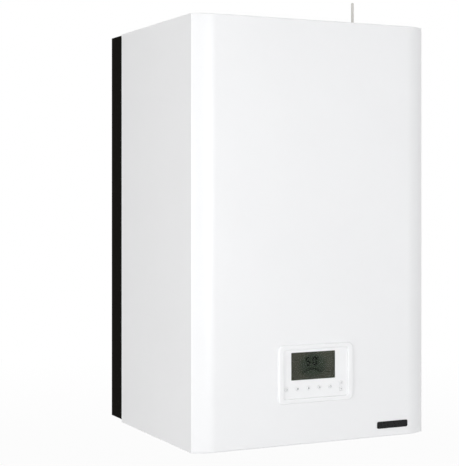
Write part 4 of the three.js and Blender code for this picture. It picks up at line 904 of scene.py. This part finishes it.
def display():
    """The module with its board, the liquid crystal's dark bars on it, and the pane in front."""
    back = mm_box("display_lcd")[1].y
    low, high = mm_box("display_window")
    front = high.y + GAP
    middle = centre_of("display_window")
    around = rounded_rectangle(high.x - low.x + 6, high.z - low.z + 6, 1, middle.x, middle.z)
    stand_in("display_lcd", soften(slab(around, front, front + 5.6), 0.3))
    board = slab(rounded_rectangle(135.4, 89.4, 3.7, PANEL_X, PANEL_Z), back - 1.6, back)
    detail("display_board", "board", board, body=COVER)
    pane = slab(rounded_rectangle(94.4, 51.4, 1.1, middle.x, middle.z), low.y, high.y)
    stand_in("display_window", soften(pane, 0.3))
    bars = []
    size = 7
    for left, lit in ((-14, "acdfg"), (0.5, "abcdef")):
        for x, z in [SEGMENTS[name] for name in lit]:
            halves = (BAR_LONG, BAR_THICK) if x == 0.5 else (BAR_THICK, BAR_LONG)
            bars.append((left + size * x, 1 + size * z, size * halves[0], size * halves[1]))
    bars += [(11, z, 1.6, 0.4) for z in (14.4, 11.8)]
    for lean in [(i - 5) / 5 for i in range(11)]:
        bars.append((lean * 19 - 2, -6.5 - 6 * lean * lean, 1.2, 1.7))
    bars += [(-38, z, 3.2, 0.35) for z in (14, 11)] + [(33, z, 4, 0.35) for z in (14, -14)]
    parts = marks([bar(*row) for row in bars], middle, front - 0.08, front + 0.2)
    detail("display_bars", "lcd", *parts, body=COVER, look="lcd_ink")


def badge():
    """A bare plate with a raised rim."""
    low, high = mm_box("badge_plate")
    middle = centre_of("badge_plate")
    form = (high.x - low.x, high.z - low.z, 3.2, (middle.x, middle.z), 0.5)
    plate = [(0, high.y), *raised(low.y, (0, 0.45), (0.12, 0.2), (0.4, 0.05), (0.8, 0.05))]
    stand_in("badge_plate", skin(inset_loops(plate, *form)))
    rim = raised(low.y, (0.5, 0.3), (0.5, 0), (1.0, 0), (1.0, 0.3))
    detail("badge_rim", "badge_black", skin(inset_loops(rim, *form), round_trip=True), body=COVER)


def aerial():
    """A rod with a round tip, on a threaded foot with a nut."""
    low, high = mm_box("antenna")
    place = plan("antenna")
    top = mm_box("top_panel")[1].z
    tip = 2.8
    rod = [(4, low.z), *thread(4, low.z + 0.5, top, 1, 0.4)]
    rod += raised(top, (4, 0.3), (4, 6), (6.4, 6.3), (6.4, 7.6), (4.6, 9.4), (3.1, 12), (tip, 14))
    rod += [polar((0, high.z - tip), a, tip) for a in (0, 0.4, 0.8, 1.1, 1.35)]
    stand_in("antenna", turned("z", place, rod, 32), nut("z", place, 9, top + 0.3, top + 6.3, 90))


# ---- Under the base ----

DIAL_START = math.radians(150)
DIAL_SWEEP = next(
    math.radians(joint["range_deg"][1] - joint["range_deg"][0])
    for joint in frame["joints"] if joint["child"] == body_of("gauge_needle")
)
DIAL_STEPS = 40


def tails():
    """Compression tails: an inner nut, a collar, and a thread at the bottom end, with a through bore."""
    for name, pipe in (("heating_flow", 11), ("hot", 7.5), ("cold", 7.5), ("return", 11)):
        tail = "tail_" + name
        low, high = mm_box(tail)
        wall, bore = pipe + 2.5, pipe - 1
        profile = [(bore, low.z), (wall - 0.9, low.z), *thread(wall, low.z + 0.6, low.z + 12.5)]
        profile += raised(low.z, (wall, 13.4), (wall + 2, 14), (wall + 2, 22), (wall, 22.4))
        profile += [(wall, high.z), (bore, high.z)]
        body = turned("z", plan(tail), profile, 40, hollow=True)
        stand_in(tail, body, nut_ring(plan(tail), 17, wall - 0.2, high.z - 12, high.z - 0.2))


def figure(number, place, level):
    """A figure on the dial, 3.6 mm high, that reads from below."""
    data = bpy.data.curves.new("figure", "FONT")
    data.body = str(number)
    data.size = 3.6 * MM
    data.extrude = 0.05 * MM
    data.align_x, data.align_y = "CENTER", "CENTER"
    letter = placed("figure", data)
    graph = bpy.context.evaluated_depsgraph_get()
    mesh = bpy.data.meshes.new_from_object(letter.evaluated_get(graph))
    mesh.transform(Matrix.Translation(Vector((*place, level)) * MM) @ Matrix.Rotation(math.pi, 4, "X"))
    bpy.data.objects.remove(letter)
    detail("gauge_figure_%d" % number, "black_plastic", placed("figure", mesh), look="print")


def gauge():
    """A pressure gauge, read from below: rim, dial, ticks, figures, needle and pane."""
    low, high = mm_box("gauge_body")
    place = plan("gauge_body")
    rim = low.z
    dial = rim + 5
    profile = raised(rim, (17, 5), (17, 0.8), (17.8, 0), (20.6, 0), (21.6, 0.5), (22, 1.6), (22, 4))
    profile += raised(rim, (20, 4), (20, 27.6), (19.2, 28.3), (4, 28.3))
    profile += thread(4, rim + 29, high.z - 0.5, 1, 0.4) + [(4, high.z)]
    stand_in("gauge_body", turned("z", place, profile, 64))
    detail("gauge_dial", "white_plastic", cylinder("z", place, 16.9, dial - 0.15, dial + 0.1, 64))
    ticks = []
    for i in range(DIAL_STEPS + 1):
        inner, half = (12.6, 0.22) if i % 10 == 0 else (13.6, 0.16) if i % 5 == 0 else (14.3, 0.1)
        shape = ((inner, -half), (15.4, -half), (15.4, half), (inner, half))
        angle = DIAL_START + DIAL_SWEEP * i / DIAL_STEPS
        ticks.append(hand(place, angle, shape, dial - 0.2, dial - 0.1))
    detail("gauge_ticks", "black_plastic", *ticks, look="print")
    for i in range(5):
        figure(i, polar(place, DIAL_START + DIAL_SWEEP * i / 4, 10.2), dial - 0.15)
    low, high = mm_box("gauge_needle")
    hub = [(1.2, low.z), (2.2, low.z + 0.15), (2.5, low.z + 0.5), (2.5, high.z)]
    shape = ((-4, -0.9), (13, -0.22), (13, 0.22), (-4, 0.9))
    pointer = hand(place, DIAL_START, shape, low.z + 0.12, low.z + 1)
    stand_in("gauge_needle", turned("z", place, hub, 32), pointer)
    pane = raised(rim, (16.2, 0.5), (16.98, 0.7), (16.98, 1.4))
    detail("gauge_pane", "display_glass", turned("z", place, pane, 64))


def gland():
    """A cable gland with a domed cap, an outer nut and a lock nut."""
    low, high = mm_box("cable_gland")
    place = plan("cable_gland")
    base = mm_box("bottom_panel")[0].z
    profile = [(6, high.z), (6, low.z), (8.4, low.z)]
    profile += [(12 - 3 * math.cos(a), low.z + 4 * math.sin(a)) for a in (0.3, 0.7, 1.1, 1.5)]
    profile += raised(base, (12, -8.3), (10, -8), (10, 0.5)) + thread(10, base + 0.8, high.z - 0.5, 1.5, 0.6)
    body = turned("z", place, [*profile, (9.4, high.z)], 48, hollow=True)
    nuts = [nut_ring(place, 14, 9.9, base + start, base + end) for start, end in ((-8.3, -0.3), (3, 7))]
    stand_in("cable_gland", body, *nuts)


def relief_valve():
    """The relief valve's body with its side arm, and its knob with six grips."""
    low = mm_box("relief_valve_body")[0].z
    axis, z = RELIEF[:2], RELIEF[2]
    profile = [(9.2, low), *thread(10, low + 0.5, low + 14, 1.6, 0.7)]
    profile += raised(z, (10, -24), (14, -20), (14, 17), (12.6, 20), (4, 20), (4, 28.4), (3.4, 29))
    arm = (cylinder("x", RELIEF, 9.5, 0, 29.4), nut("x", RELIEF, 12.4, 17, 27))
    outlet = cylinder("z", axis, 7, low - 1, z + 4, 40)
    stand_in("relief_valve_body", shaped(turned("z", axis, profile, 48), arm, [outlet]))
    base = z + 20.3
    knob = raised(base, (15.2, 0), (16, 0.9), (16, 13.6), (15.2, 15.4), (13.4, 16), (8, 15.2))
    grips = [cylinder("z", spot, 3, base - 1, base + 17, 24) for spot in spots(6, axis, 17)]
    bore = cylinder("z", axis, 4.3, base - 1, base + 9.3)
    stand_in("relief_knob", bevel(shaped(turned("z", axis, knob, 96), (), (merged(*grips), bore)), 0.4))


def filling_valve():
    """The filling valve between its two pipes, with its lever and the lever's screw."""
    low, high = mm_box("fill_valve_body")
    half = (high.x - low.x) / 2
    place = ((low.x + high.x) / 2, TAIL_Y, FILL_Z)
    start = [(7, -half), (7, 3 - half), (7.8, 3.4 - half), (10, 1 - half / 2)]
    span = start + [(radius, -along) for radius, along in start[::-1]]
    joins = (cylinder("y", place, 5, -19, 0), nut("y", place, 6.6, -16, -11, 90))
    body = shaped(turned("x", place, span, 40), joins, [cylinder("x", place, 5, -half - 1, half + 1)])
    stand_in("fill_valve_body", bevel(body, 0.3))
    low, high = mm_box("fill_lever")
    x, _, z = place
    outline = arc((x, z), 7, -50, 230, 24) + arc((x, z - 34), 4.5, 180, 360, 14)
    stand_in("fill_lever", soften(slab(outline, low.y, high.y), 0.7, 3))
    detail("fill_screw", "zinc", nut("y", place, 2.6, -24.8, -22.3), body=body_of("fill_lever"))


# ---- Water store ----

STORE_Y = -238
STORE = (0, STORE_Y)
STORE_LOW, STORE_HIGH = -60, 310  # where its domes begin
STORE_RADIUS, STORE_DOME = 150, 35
JACKET_RADIUS, JACKET_ROLL = 175, 7
STRAP_LEVELS = (-40, 130, 300)
PORT_X = 103.8
RETURN_Y = STORE_Y + 45
FLOW_PORT, RETURN_PORT = (PORT_X, STORE_Y), (-PORT_X, RETURN_Y)
PORT_END = -126.3
NECK_END = -122.3


def dome_rows(grow, radii, upper, steps=16):
    """Points of (radius, height) along a dome between two radii, from the first to the second."""
    radius, rise = STORE_RADIUS + grow, STORE_DOME + grow
    first, last = [math.acos(min(r / radius, 1)) for r in radii]
    rows = []
    for i in range(steps + 1):
        a = first + (last - first) * i / steps
        level = STORE_HIGH + rise * math.sin(a) if upper else STORE_LOW - rise * math.sin(a)
        rows.append((radius * math.cos(a), level))
    return rows


def store():
    """The domed shell with its neck and its boss, and two ports."""
    neck, boss, wall = 48, 13, -2.5
    top = mm_box("tank_shell")[1].z
    outer = raised(NECK_END, (60, 0), (60, 6), (neck, 6))
    outer += dome_rows(0, (neck, STORE_RADIUS), False) + dome_rows(0, (STORE_RADIUS, boss), True)
    outer += [(boss, top), (5, top)]
    inner = dome_rows(wall, (5, STORE_RADIUS + wall), True) + dome_rows(wall, (STORE_RADIUS + wall, 45), False)
    shell = turned("z", STORE, [*outer, *inner, (45, NECK_END)], 96, hollow=True)
    ports = [
        turned("z", port, [(12, PORT_END), (12, end), (9, end), (9, PORT_END)], 32, hollow=True)
        for port, end in ((FLOW_PORT, 270), (RETURN_PORT, -60))
    ]
    stand_in("tank_shell", shell, *ports)


def jackets():
    """Foam halves with rolled edges, held by three straps with a clip each."""
    radius, roll = JACKET_RADIUS, JACKET_ROLL
    low, high = mm_box("jacket_front")
    bottom, top = low.z, high.z
    section = [(50, bottom), *dome_rows(GAP, (50, 150.3), False)]
    section += [*dome_rows(GAP, (150.3, 17), True), (17, top)]
    section += arc((radius - roll, top - roll), roll, 90, 0, 6)
    section += arc((radius - roll, bottom + roll), roll, 0, -90, 6)
    for name, start, shift in (("jacket_front", 180, -0.15), ("jacket_rear", 0, 0.15)):
        angles = [math.radians(start + 180 * i / 64) for i in range(65)]
        middle = (0, STORE_Y + shift)
        half = skin([[(*polar(middle, angle, r), z) for r, z in section] for angle in angles])
        ports = [cylinder("z", port, 14, bottom - 1, STORE_LOW + 2) for port in (FLOW_PORT, RETURN_PORT)]
        stand_in(name, carve(new_object(half), merged(*ports)))
    front = STORE_Y - radius
    straps, clips = [], []
    for z in STRAP_LEVELS:
        band = raised(z, (radius - 0.6, -9), (radius + 0.8, -9), (radius + 1, -8.6), (radius + 1, 8.6))
        band += raised(z, (radius + 0.8, 9), (radius - 0.6, 9))
        straps.append(turned("z", STORE, band, 128, hollow=True))
        clips.append(soften(block(about(0, 17), (front - 4.5, front + 1), about(z, 10.5)), 1.2))
        clips.append(soften(block(about(0, 8), (front - 7, front - 4), about(z, 5)), 1))
    detail("jacket_straps", "zinc", *straps)
    detail("strap_clips", "steel", *clips)


def elements():
    """The flange of the heating loops, with its bolts, insulators and screw ends."""
    low = mm_box("element_flange")[0].z
    disc_low, crown = NECK_END - 8.3, NECK_END + 260
    disc = soften(cylinder("z", STORE, 60, disc_low, NECK_END - GAP, 64), 0.8)
    pocket = cylinder("z", STORE, 5, low + 4, low + 134)
    insulator = raised(disc_low, (6, 0.5), (6, -2), (5, -5))
    loops, insulators = [], []
    for i in range(3):
        one, other = [polar(STORE, 2 * math.pi * i / 3, 24, across) for across in (-15, 15)]
        insulators += [turned("z", end, insulator, 24) for end in (one, other)]
        loops.append(tube([(*one, low), (*one, crown), (*other, crown), (*other, low)], 4, 14, 16))
    stand_in("element_flange", disc, pocket, *loops)
    bolts = [nut("z", spot, 5, disc_low - 4, disc_low + 0.2) for spot in spots(8, STORE, 53, 0.5)]
    detail("flange_bolts", "zinc", *bolts)
    detail("element_insulators", "white_plastic", *insulators)


def air_vent():
    """The automatic air vent's bottle, and its cap with ribs and one wing."""
    low, high = mm_box("air_vent_body")
    outer = raised(low.z, (3, 0), (13, 0), (13, 4), (15, 6), (15, 9), (14.3, 10), (14.3, 12), (15, 13))
    outer += raised(low.z, (15, 20), (13.5, 21), (5, 22)) + [(5, high.z), (3, high.z)]
    stand_in("air_vent_body", soften(turned("z", STORE, outer, 48, hollow=True), 0.3))
    z = mm_box("air_vent_cap")[0].z
    cap = raised(z, (5.3, 0), (7.2, 0), (7.5, 0.5), (7.5, 6), (6.8, 7), (2, 7), (2, 4.3), (5.3, 4.3))
    ribs = [cylinder("z", spot, 0.55, z + 0.4, z + 6.2, 8) for spot in spots(18, STORE, 7.4)]
    wing = soften(block(about(0, 1), (STORE_Y + 6.5, STORE_Y + 10), (z, z + 7)), 0.3)
    stand_in("air_vent_cap", turned("z", STORE, cap, 48, hollow=True), *ribs, wing)


def vessel():
    """A flat pressed vessel: two rounded halves, welded round the middle, with a stub below."""
    low, high = mm_box("expansion_vessel")
    front, back = low.y, high.y
    middle = (front + back) / 2
    wide, tall, roll = 380, 400, 16
    base = high.z - tall
    rows = raised(front, (90, 4), (84, 3.2), (78, 0.6), (roll + 6, 0))
    rows += arc((roll, front + roll), roll, 270, 180)
    rows += raised(middle, (2, -3), (1.2, -2.2), (0, -1), (0, 1), (1.2, 2.2), (2, 3))
    rows += arc((roll, back - roll), roll, 180, 90)
    shell = skin(inset_loops(rows, wide, tall, 60, (0, high.z - tall / 2), 0.8, 16))
    outlet = (RETURN_X, middle)
    stub = cylinder("z", outlet, 7, low.z, base + 1)
    stand_in("expansion_vessel", shell, stub, nut("z", outlet, 10, base - 9, base - 1, 90))


# ---- Pump, diverter, heat exchanger and pipes ----

PUMP_Z = -191.6
DIVERTER_Z = -301.9
PUMP = (PORT_X, STORE_Y, PUMP_Z)
DIVERTER = (PORT_X, STORE_Y, DIVERTER_Z)
UPPER_PORT_Z = -151.9
CROSS_Z = -230  # where the cold pipe and the vessel's pipe run level
FILL_Z = -275
MEET_X = 173.8
VANE_HEIGHT = 8
HOT_X = 153.5
COLD_X, RETURN_X, TAP_X = -6.2, -61.2, 48.8
TURBINE_LONG = 14


def pump():
    """The pump's volute with its two unions, and its motor with cooling fins and bolts."""
    casing = [(33, -22), (36.6, -22), (38, -20.6), (38, 12), (36, 18.5), (31, 22), (14, 22)]
    joins = [cylinder("z", PUMP, 16, -64.8, 64.8, 40)]
    joins += [nut("z", PUMP, 20, start, start + 10, 90) for start in (-65, 55)]
    cuts = (cylinder("y", PUMP, 33, -23, 17, 64), cylinder("z", PUMP, 9, -66, 66))
    stand_in("pump_volute", shaped(turned("y", PUMP, casing, 64), joins, cuts))
    back, front = -22.3, -97.3
    can = raised(back, (5.3, 0), (40, 0), (40, -6), (38.6, -7.5))
    can += raised(front, (38.6, 9), (37, 3), (33, 0), (16, 0), (14, 1.5), (5.3, 1.5), (5.3, 11), (22, 11))
    can += raised(back, (22, -4), (5.3, -4))
    fins = []
    for i in range(40):
        fin = block((37.5, 40), (STORE_Y + front + 12, STORE_Y + back - 9), (-0.8, 0.8))
        turn = Matrix.Rotation(2 * math.pi * (i + 0.5) / 40, 4, "Y")
        fin.transform(Matrix.Translation((PORT_X, 0, PUMP_Z)) @ turn)
        fins.append(fin)
    depth = (STORE_Y + front + 6, STORE_Y + back - 20)
    box = soften(block(about(PORT_X, 22), depth, (PUMP_Z - 50, PUMP_Z - 30)), 3, 3)
    stand_in("pump_motor", turned("y", PUMP, can, 64, hollow=True), box, *fins)
    corners = spots(4, (PORT_X, PUMP_Z), 34, 0.5)
    bolts = [nut("y", (x, STORE_Y, z), 3.4, front - 1.2, front + 4) for x, z in corners]
    detail("pump_bolts", "zinc", *bolts)


def pump_rotor():
    """Shaft, magnet and impeller disc in one turned piece, with vanes that sweep back."""
    profile = [(4.4, -91), (5, -90.4), (5, -80.3), (19.2, -80.3), (20, -79.5), (20, -29.1), (19.2, -28.3)]
    profile += [(5, -28.3), (5, -16.3), (27.5, -16.3), (28, -15.8), (28, -13.8), (27.5, -13.3), (5, -13.3)]
    profile += [(5, -4.9), (4.4, -4.3)]
    hub, length, sweep, steps = 4, 23.4, 0.9, 8
    vanes = []
    for i in range(6):
        sides = []
        for half in (-0.9, 0.9):
            side = []
            for step in range(steps + 1):
                radius = hub + length * step / steps
                angle = 2 * math.pi * i / 6 + sweep * step / steps + half / radius
                side.append(polar((PORT_X, PUMP_Z), angle, radius))
            sides.append(side)
        vanes.append(slab(sides[0] + sides[1][::-1], STORE_Y - 13.6, STORE_Y - 13.3 + VANE_HEIGHT))
    stand_in("pump_rotor", turned("y", PUMP, profile, 64), *vanes)


def diverter():
    """The three-way valve's body with its unions, its motor, and the stem with two discs."""
    run = MEET_X - GAP - PORT_X
    joins = (
        nut("z", DIVERTER, 19.9, 33, 45, 90), cylinder("x", DIVERTER, 13, 0, run, 40),
        cylinder("y", DIVERTER, 13, 0, 30, 40), cylinder("y", DIVERTER, 14, -26, 0, 40),
        nut("x", DIVERTER, 16, run - 12, run), nut("y", DIVERTER, 15.9, 18, 29.5, 90),
    )
    cuts = (
        cylinder("z", DIVERTER, 9, 0, 46), cylinder("x", DIVERTER, 8, 0, run + 1),
        cylinder("y", DIVERTER, 11, -14, 31), cylinder("y", DIVERTER, 3.3, -28, 1),
    )
    base = turned("z", DIVERTER, [(14, -24), (16, -22), (16, 45)], 40)
    stand_in("diverter_body", shaped(base, joins, cuts))
    softened("diverter_motor", 3, 3)
    stem = [(2.4, -46), (3, -45.4), (3, -3)]
    for start in (-3, 11):
        stem += raised(start, (3, 0), (9.4, 0), (10, 0.5), (10, 1.5), (9.5, 1.8))
        stem += raised(start, (9.5, 2.2), (10, 2.5), (10, 3.5), (9.4, 4), (3, 4))
    stand_in("diverter_stem", turned("y", DIVERTER, stem, 48))


def heat_exchanger():
    """Pressed plates brazed in a stack, between two end plates, with four ports."""
    low, high = mm_box("plate_exchanger")
    left = MEET_X + 10
    plates = 20
    pitch = (high.x - left - 5.6) / plates
    rows = raised(left, (1.4, 0), (0.4, 0), (0, 0.5), (0, 2.6), (1.6, 2.8))
    for i in range(plates):
        wave = ((2.4, 0.1), (0.7, 0.45), (0.7, 0.6), (2.4, 0.95))
        rows += raised(left + 2.8 + pitch * i, *[(inset, pitch * share) for inset, share in wave])
    rows += raised(high.x, (1.6, -2.8), (0, -2.6), (0, -0.5), (0.4, 0))
    middle = ((low.y + high.y) / 2, (low.z + high.z) / 2)
    loops = inset_loops(rows, high.y - low.y, high.z - low.z, 14, middle, 1)
    pack = skin([[(depth, y, z) for y, depth, z in loop] for loop in loops])
    port = [(7.5, 11), (7.5, 0), (12, 0), (12, 3), (10.5, 3.6), (10.5, 8.6), (13.5, 9.4), (13.5, 11)]
    stubs = [
        turned("x", (MEET_X, y, z), port, 32, hollow=True)
        for y in (STORE_Y, RETURN_Y) for z in (DIVERTER_Z, UPPER_PORT_Z)
    ]
    stand_in("plate_exchanger", pack, *stubs)


def pipes():
    """Bent copper pipes, with a brass union where each meets another part."""
    meet = MEET_X - GAP
    tail = -371.7
    up, down, cross = UPPER_PORT_Z, DIVERTER_Z, CROSS_Z
    runs = {  # the corners, the radius and the bend of each pipe's parts
        "pipe_heating_flow": [
            ([(PORT_X, STORE_Y + 30.3, down), (PORT_X, TAIL_Y, down), (PORT_X, TAIL_Y, tail)], 11, 20),
        ],
        "pipe_return": [
            ([(meet, RETURN_Y, up), (-PORT_X, RETURN_Y, up), (-PORT_X, RETURN_Y, -126.6)], 11, 20),
            ([(RETURN_X, TAIL_Y, tail), (RETURN_X, TAIL_Y, up), (RETURN_X, RETURN_Y, up)], 11, 20),
            ([(RETURN_X - 9, *RELIEF[1:]), (RETURN_X - 25, *RELIEF[1:])], 7.5, 1),
            ([(RETURN_X + 9, TAIL_Y, FILL_Z), (RETURN_X + 14, TAIL_Y, FILL_Z)], 7, 1),
            ([(RETURN_X, TAIL_Y + 9, cross), (RETURN_X, TAIL_Y + 16, cross)], 5, 1),
        ],
        "pipe_cold": [
            ([
                (COLD_X, TAIL_Y, -299.7), (COLD_X, TAIL_Y, cross), (COLD_X, TAIL_Y - 40, cross),
                (HOT_X, TAIL_Y - 40, cross), (HOT_X, RETURN_Y, cross), (HOT_X, RETURN_Y, down),
                (meet, RETURN_Y, down),
            ], 7.5, 16),
            ([(COLD_X - 5.5, TAIL_Y, FILL_Z), (COLD_X - 10.5, TAIL_Y, FILL_Z)], 7, 1),
        ],
        "pipe_hot": [
            ([
                (meet, STORE_Y, up), (HOT_X, STORE_Y, up), (HOT_X, STORE_Y, -200),
                (HOT_X, TAIL_Y, -200), (TAP_X, TAIL_Y, -200), (TAP_X, TAIL_Y, tail),
            ], 7.5, 16),
        ],
        "pipe_expansion": [
            ([(RETURN_X, -24.8, -112.6), (RETURN_X, -24.8, cross), (RETURN_X, TAIL_Y + 16.3, cross)], 5, 16),
        ],
    }
    for name, parts in runs.items():
        stand_in(name, *[tube(*part) for part in parts])
    cold = (COLD_X, TAIL_Y)
    unions = [nut("z", cold, 12, -299.5, -291, 90), nut("z", cold, 12, -296, -288, 90)]
    detail("pipe_unions", "brass", *unions, nut("y", (RETURN_X, 0, cross), 8.6, -100, -92))


def flow_sensor():
    """The sensor's body with a spider at each end of its chamber, and the turbine between them."""
    low, high = mm_box("flow_sensor_body")
    place = (COLD_X, TAIL_Y)
    middle = (low.z + high.z) / 2
    half = TURBINE_LONG / 2 + 3 + 0.3 + 3  # the blades, the shaft's end, a gap and a spider
    profile = raised(low.z, (6.5, 0), (14, 0), (14, 9), (13, 10))
    profile += raised(high.z, (13, -10), (14, -9), (14, 0), (6.5, 0))
    profile += raised(middle, (6.5, half), (9, half), (9, -half), (6.5, -half))
    head = soften(block(about(COLD_X, 8), (TAIL_Y - 20, TAIL_Y - 9.5), about(middle, 12)), 1)
    arms = []
    for z in (middle - half, middle + half - 3):
        for wide, deep in ((9.5, 1), (1, 9.5)):
            arms.append(block(about(COLD_X, wide), about(TAIL_Y, deep), (z, z + 3)))
    stand_in("flow_sensor_body", turned("z", place, profile, 48, hollow=True), head, *arms)
    shaft = turned("z", place, raised(middle, (1, -10), (1.5, -9.4), (1.5, 9.4), (1, 10)), 24)
    section = ((1, -0.6), (7.4, -0.4), (7.4, 0.4), (1, 0.6))
    blades = []
    for i in range(4):
        rings = []
        for share in [step / 8 - 0.5 for step in range(9)]:
            angle = math.pi * i / 2 + 0.7 * share
            rings.append([(*polar(place, angle, *row), middle + TURBINE_LONG * share) for row in section])
        blades.append(skin(rings))
    stand_in("flow_turbine", shaft, *blades)


# ---- Electrical parts ----


def board():
    """The circuit board with its relays, connector, capacitor, chips and pins."""
    (left, _, base), (right, back, top) = mm_box("main_board")
    front = back - 1.6
    outline = rounded_rectangle(right - left, top - base, 2, (left + right) / 2, (base + top) / 2)
    stand_in("main_board", slab(outline, front, back))
    pitch = (right - left) / 3
    relays, pins, legs = [], [], []
    for x in [left + (i + 0.5) * pitch for i in range(3)]:
        relays.append(soften(block(about(x, 11), (front - 18, front + 0.4), (base + 14, base + 44)), 1))
        pins += [cylinder("y", (x + dx, 0, base + 9), 1.1, front - 0.9, front + 0.2, 14) for dx in (-7, 0, 7)]
    detail("relays", "blue_plastic", *relays)
    z0 = top - 14
    housing = [soften(block((left + 10, right - 10), (front - 12, front + 0.4), (z0, z0 + 10)), 0.6)]
    for i in range(23):
        x = left + 13 + i * (right - left - 26) / 22
        housing.append(block(about(x, 1.2), (front - 13, front - 11.5), (z0 + 1.2, z0 + 8.8)))
    detail("board_connector", "white_plastic", *housing)
    can = [(9, 0.4), (9, -20.5), (8.4, -21), (8.4, -22), (9, -22.5), (9, -23.4), (8.4, -24), (6, -23.7)]
    detail("capacitor", "zinc", turned("y", (left + 24, front, top - 34), can, 40))
    chip = block((right - 50, right - 26), (front - 3, front + 0.4), (top - 44, top - 24))
    small = [soften(chip, 0.4)]
    for z in [top - 42.6 + i * 1.95 for i in range(10)]:
        for limits in ((right - 52.4, right - 49.8), (right - 26.2, right - 23.6)):
            legs.append(block(limits, (front - 0.9, front + 0.1), about(z, 0.4)))
    for i in range(9):
        x, z = left + 52 + (i % 3) * 7, top - 26 - (i // 3) * 6
        small.append(soften(block(about(x, 1.6), (front - 1.2, front + 0.2), about(z, 0.9)), 0.2, 1))
    detail("board_chips", "black_plastic", *small)
    detail("board_pins", "zinc", *pins, *legs)


def terminals():
    """The terminal block, and its screws with a slot in each."""
    low, high = mm_box("terminal_block")
    softened("terminal_block", 0.5)
    pitch = (high.x - low.x) / 6
    front = high.y - 28
    middle = (low.z + high.z) / 2
    columns = [low.x + (i + 0.5) * pitch for i in range(6)]
    heads = [turned("y", (x, front, middle), [(2.3, 9), (2.3, 3.4), (1.7, 2.9)], 20) for x in columns]
    slots = [block(about(x, 3), (front, front + 3.9), about(middle, 0.3)) for x in columns]
    detail("terminal_screws", "zinc", carve(new_object(merged(*heads)), merged(*slots)))


def overheat():
    """The overheat thermostat with its four tags, and its reset button."""
    low, high = mm_box("overheat_stat")
    softened("overheat_stat", 0.8)
    tags = [
        block(about(x, 3), (high.y - 26.5, high.y - 18), about(z, 0.4))
        for x in (low.x + 6, high.x - 6) for z in (low.z + 5, high.z - 5)
    ]
    detail("stat_tags", "brass", *tags)
    button("overheat_reset", [(2.6, 0), (3.5, 0.25), (4, 0.9)], 32)


# ---- The whole boiler ----

front_cover()
side_panels()
rear_frame()
end_panels()
cover_screws()
softened("wall_bracket", 0.5, 3)
bezel()
face()
keys()
key_marks()
display()
badge()
aerial()
tails()
gauge()
gland()
relief_valve()
filling_valve()
store()
jackets()
elements()
air_vent()
vessel()
softened("tank_shelf", 0.5)
pump()
pump_rotor()
diverter()
heat_exchanger()
pipes()
flow_sensor()
softened("electrical_tray", 0.4)
board()
terminals()
overheat()
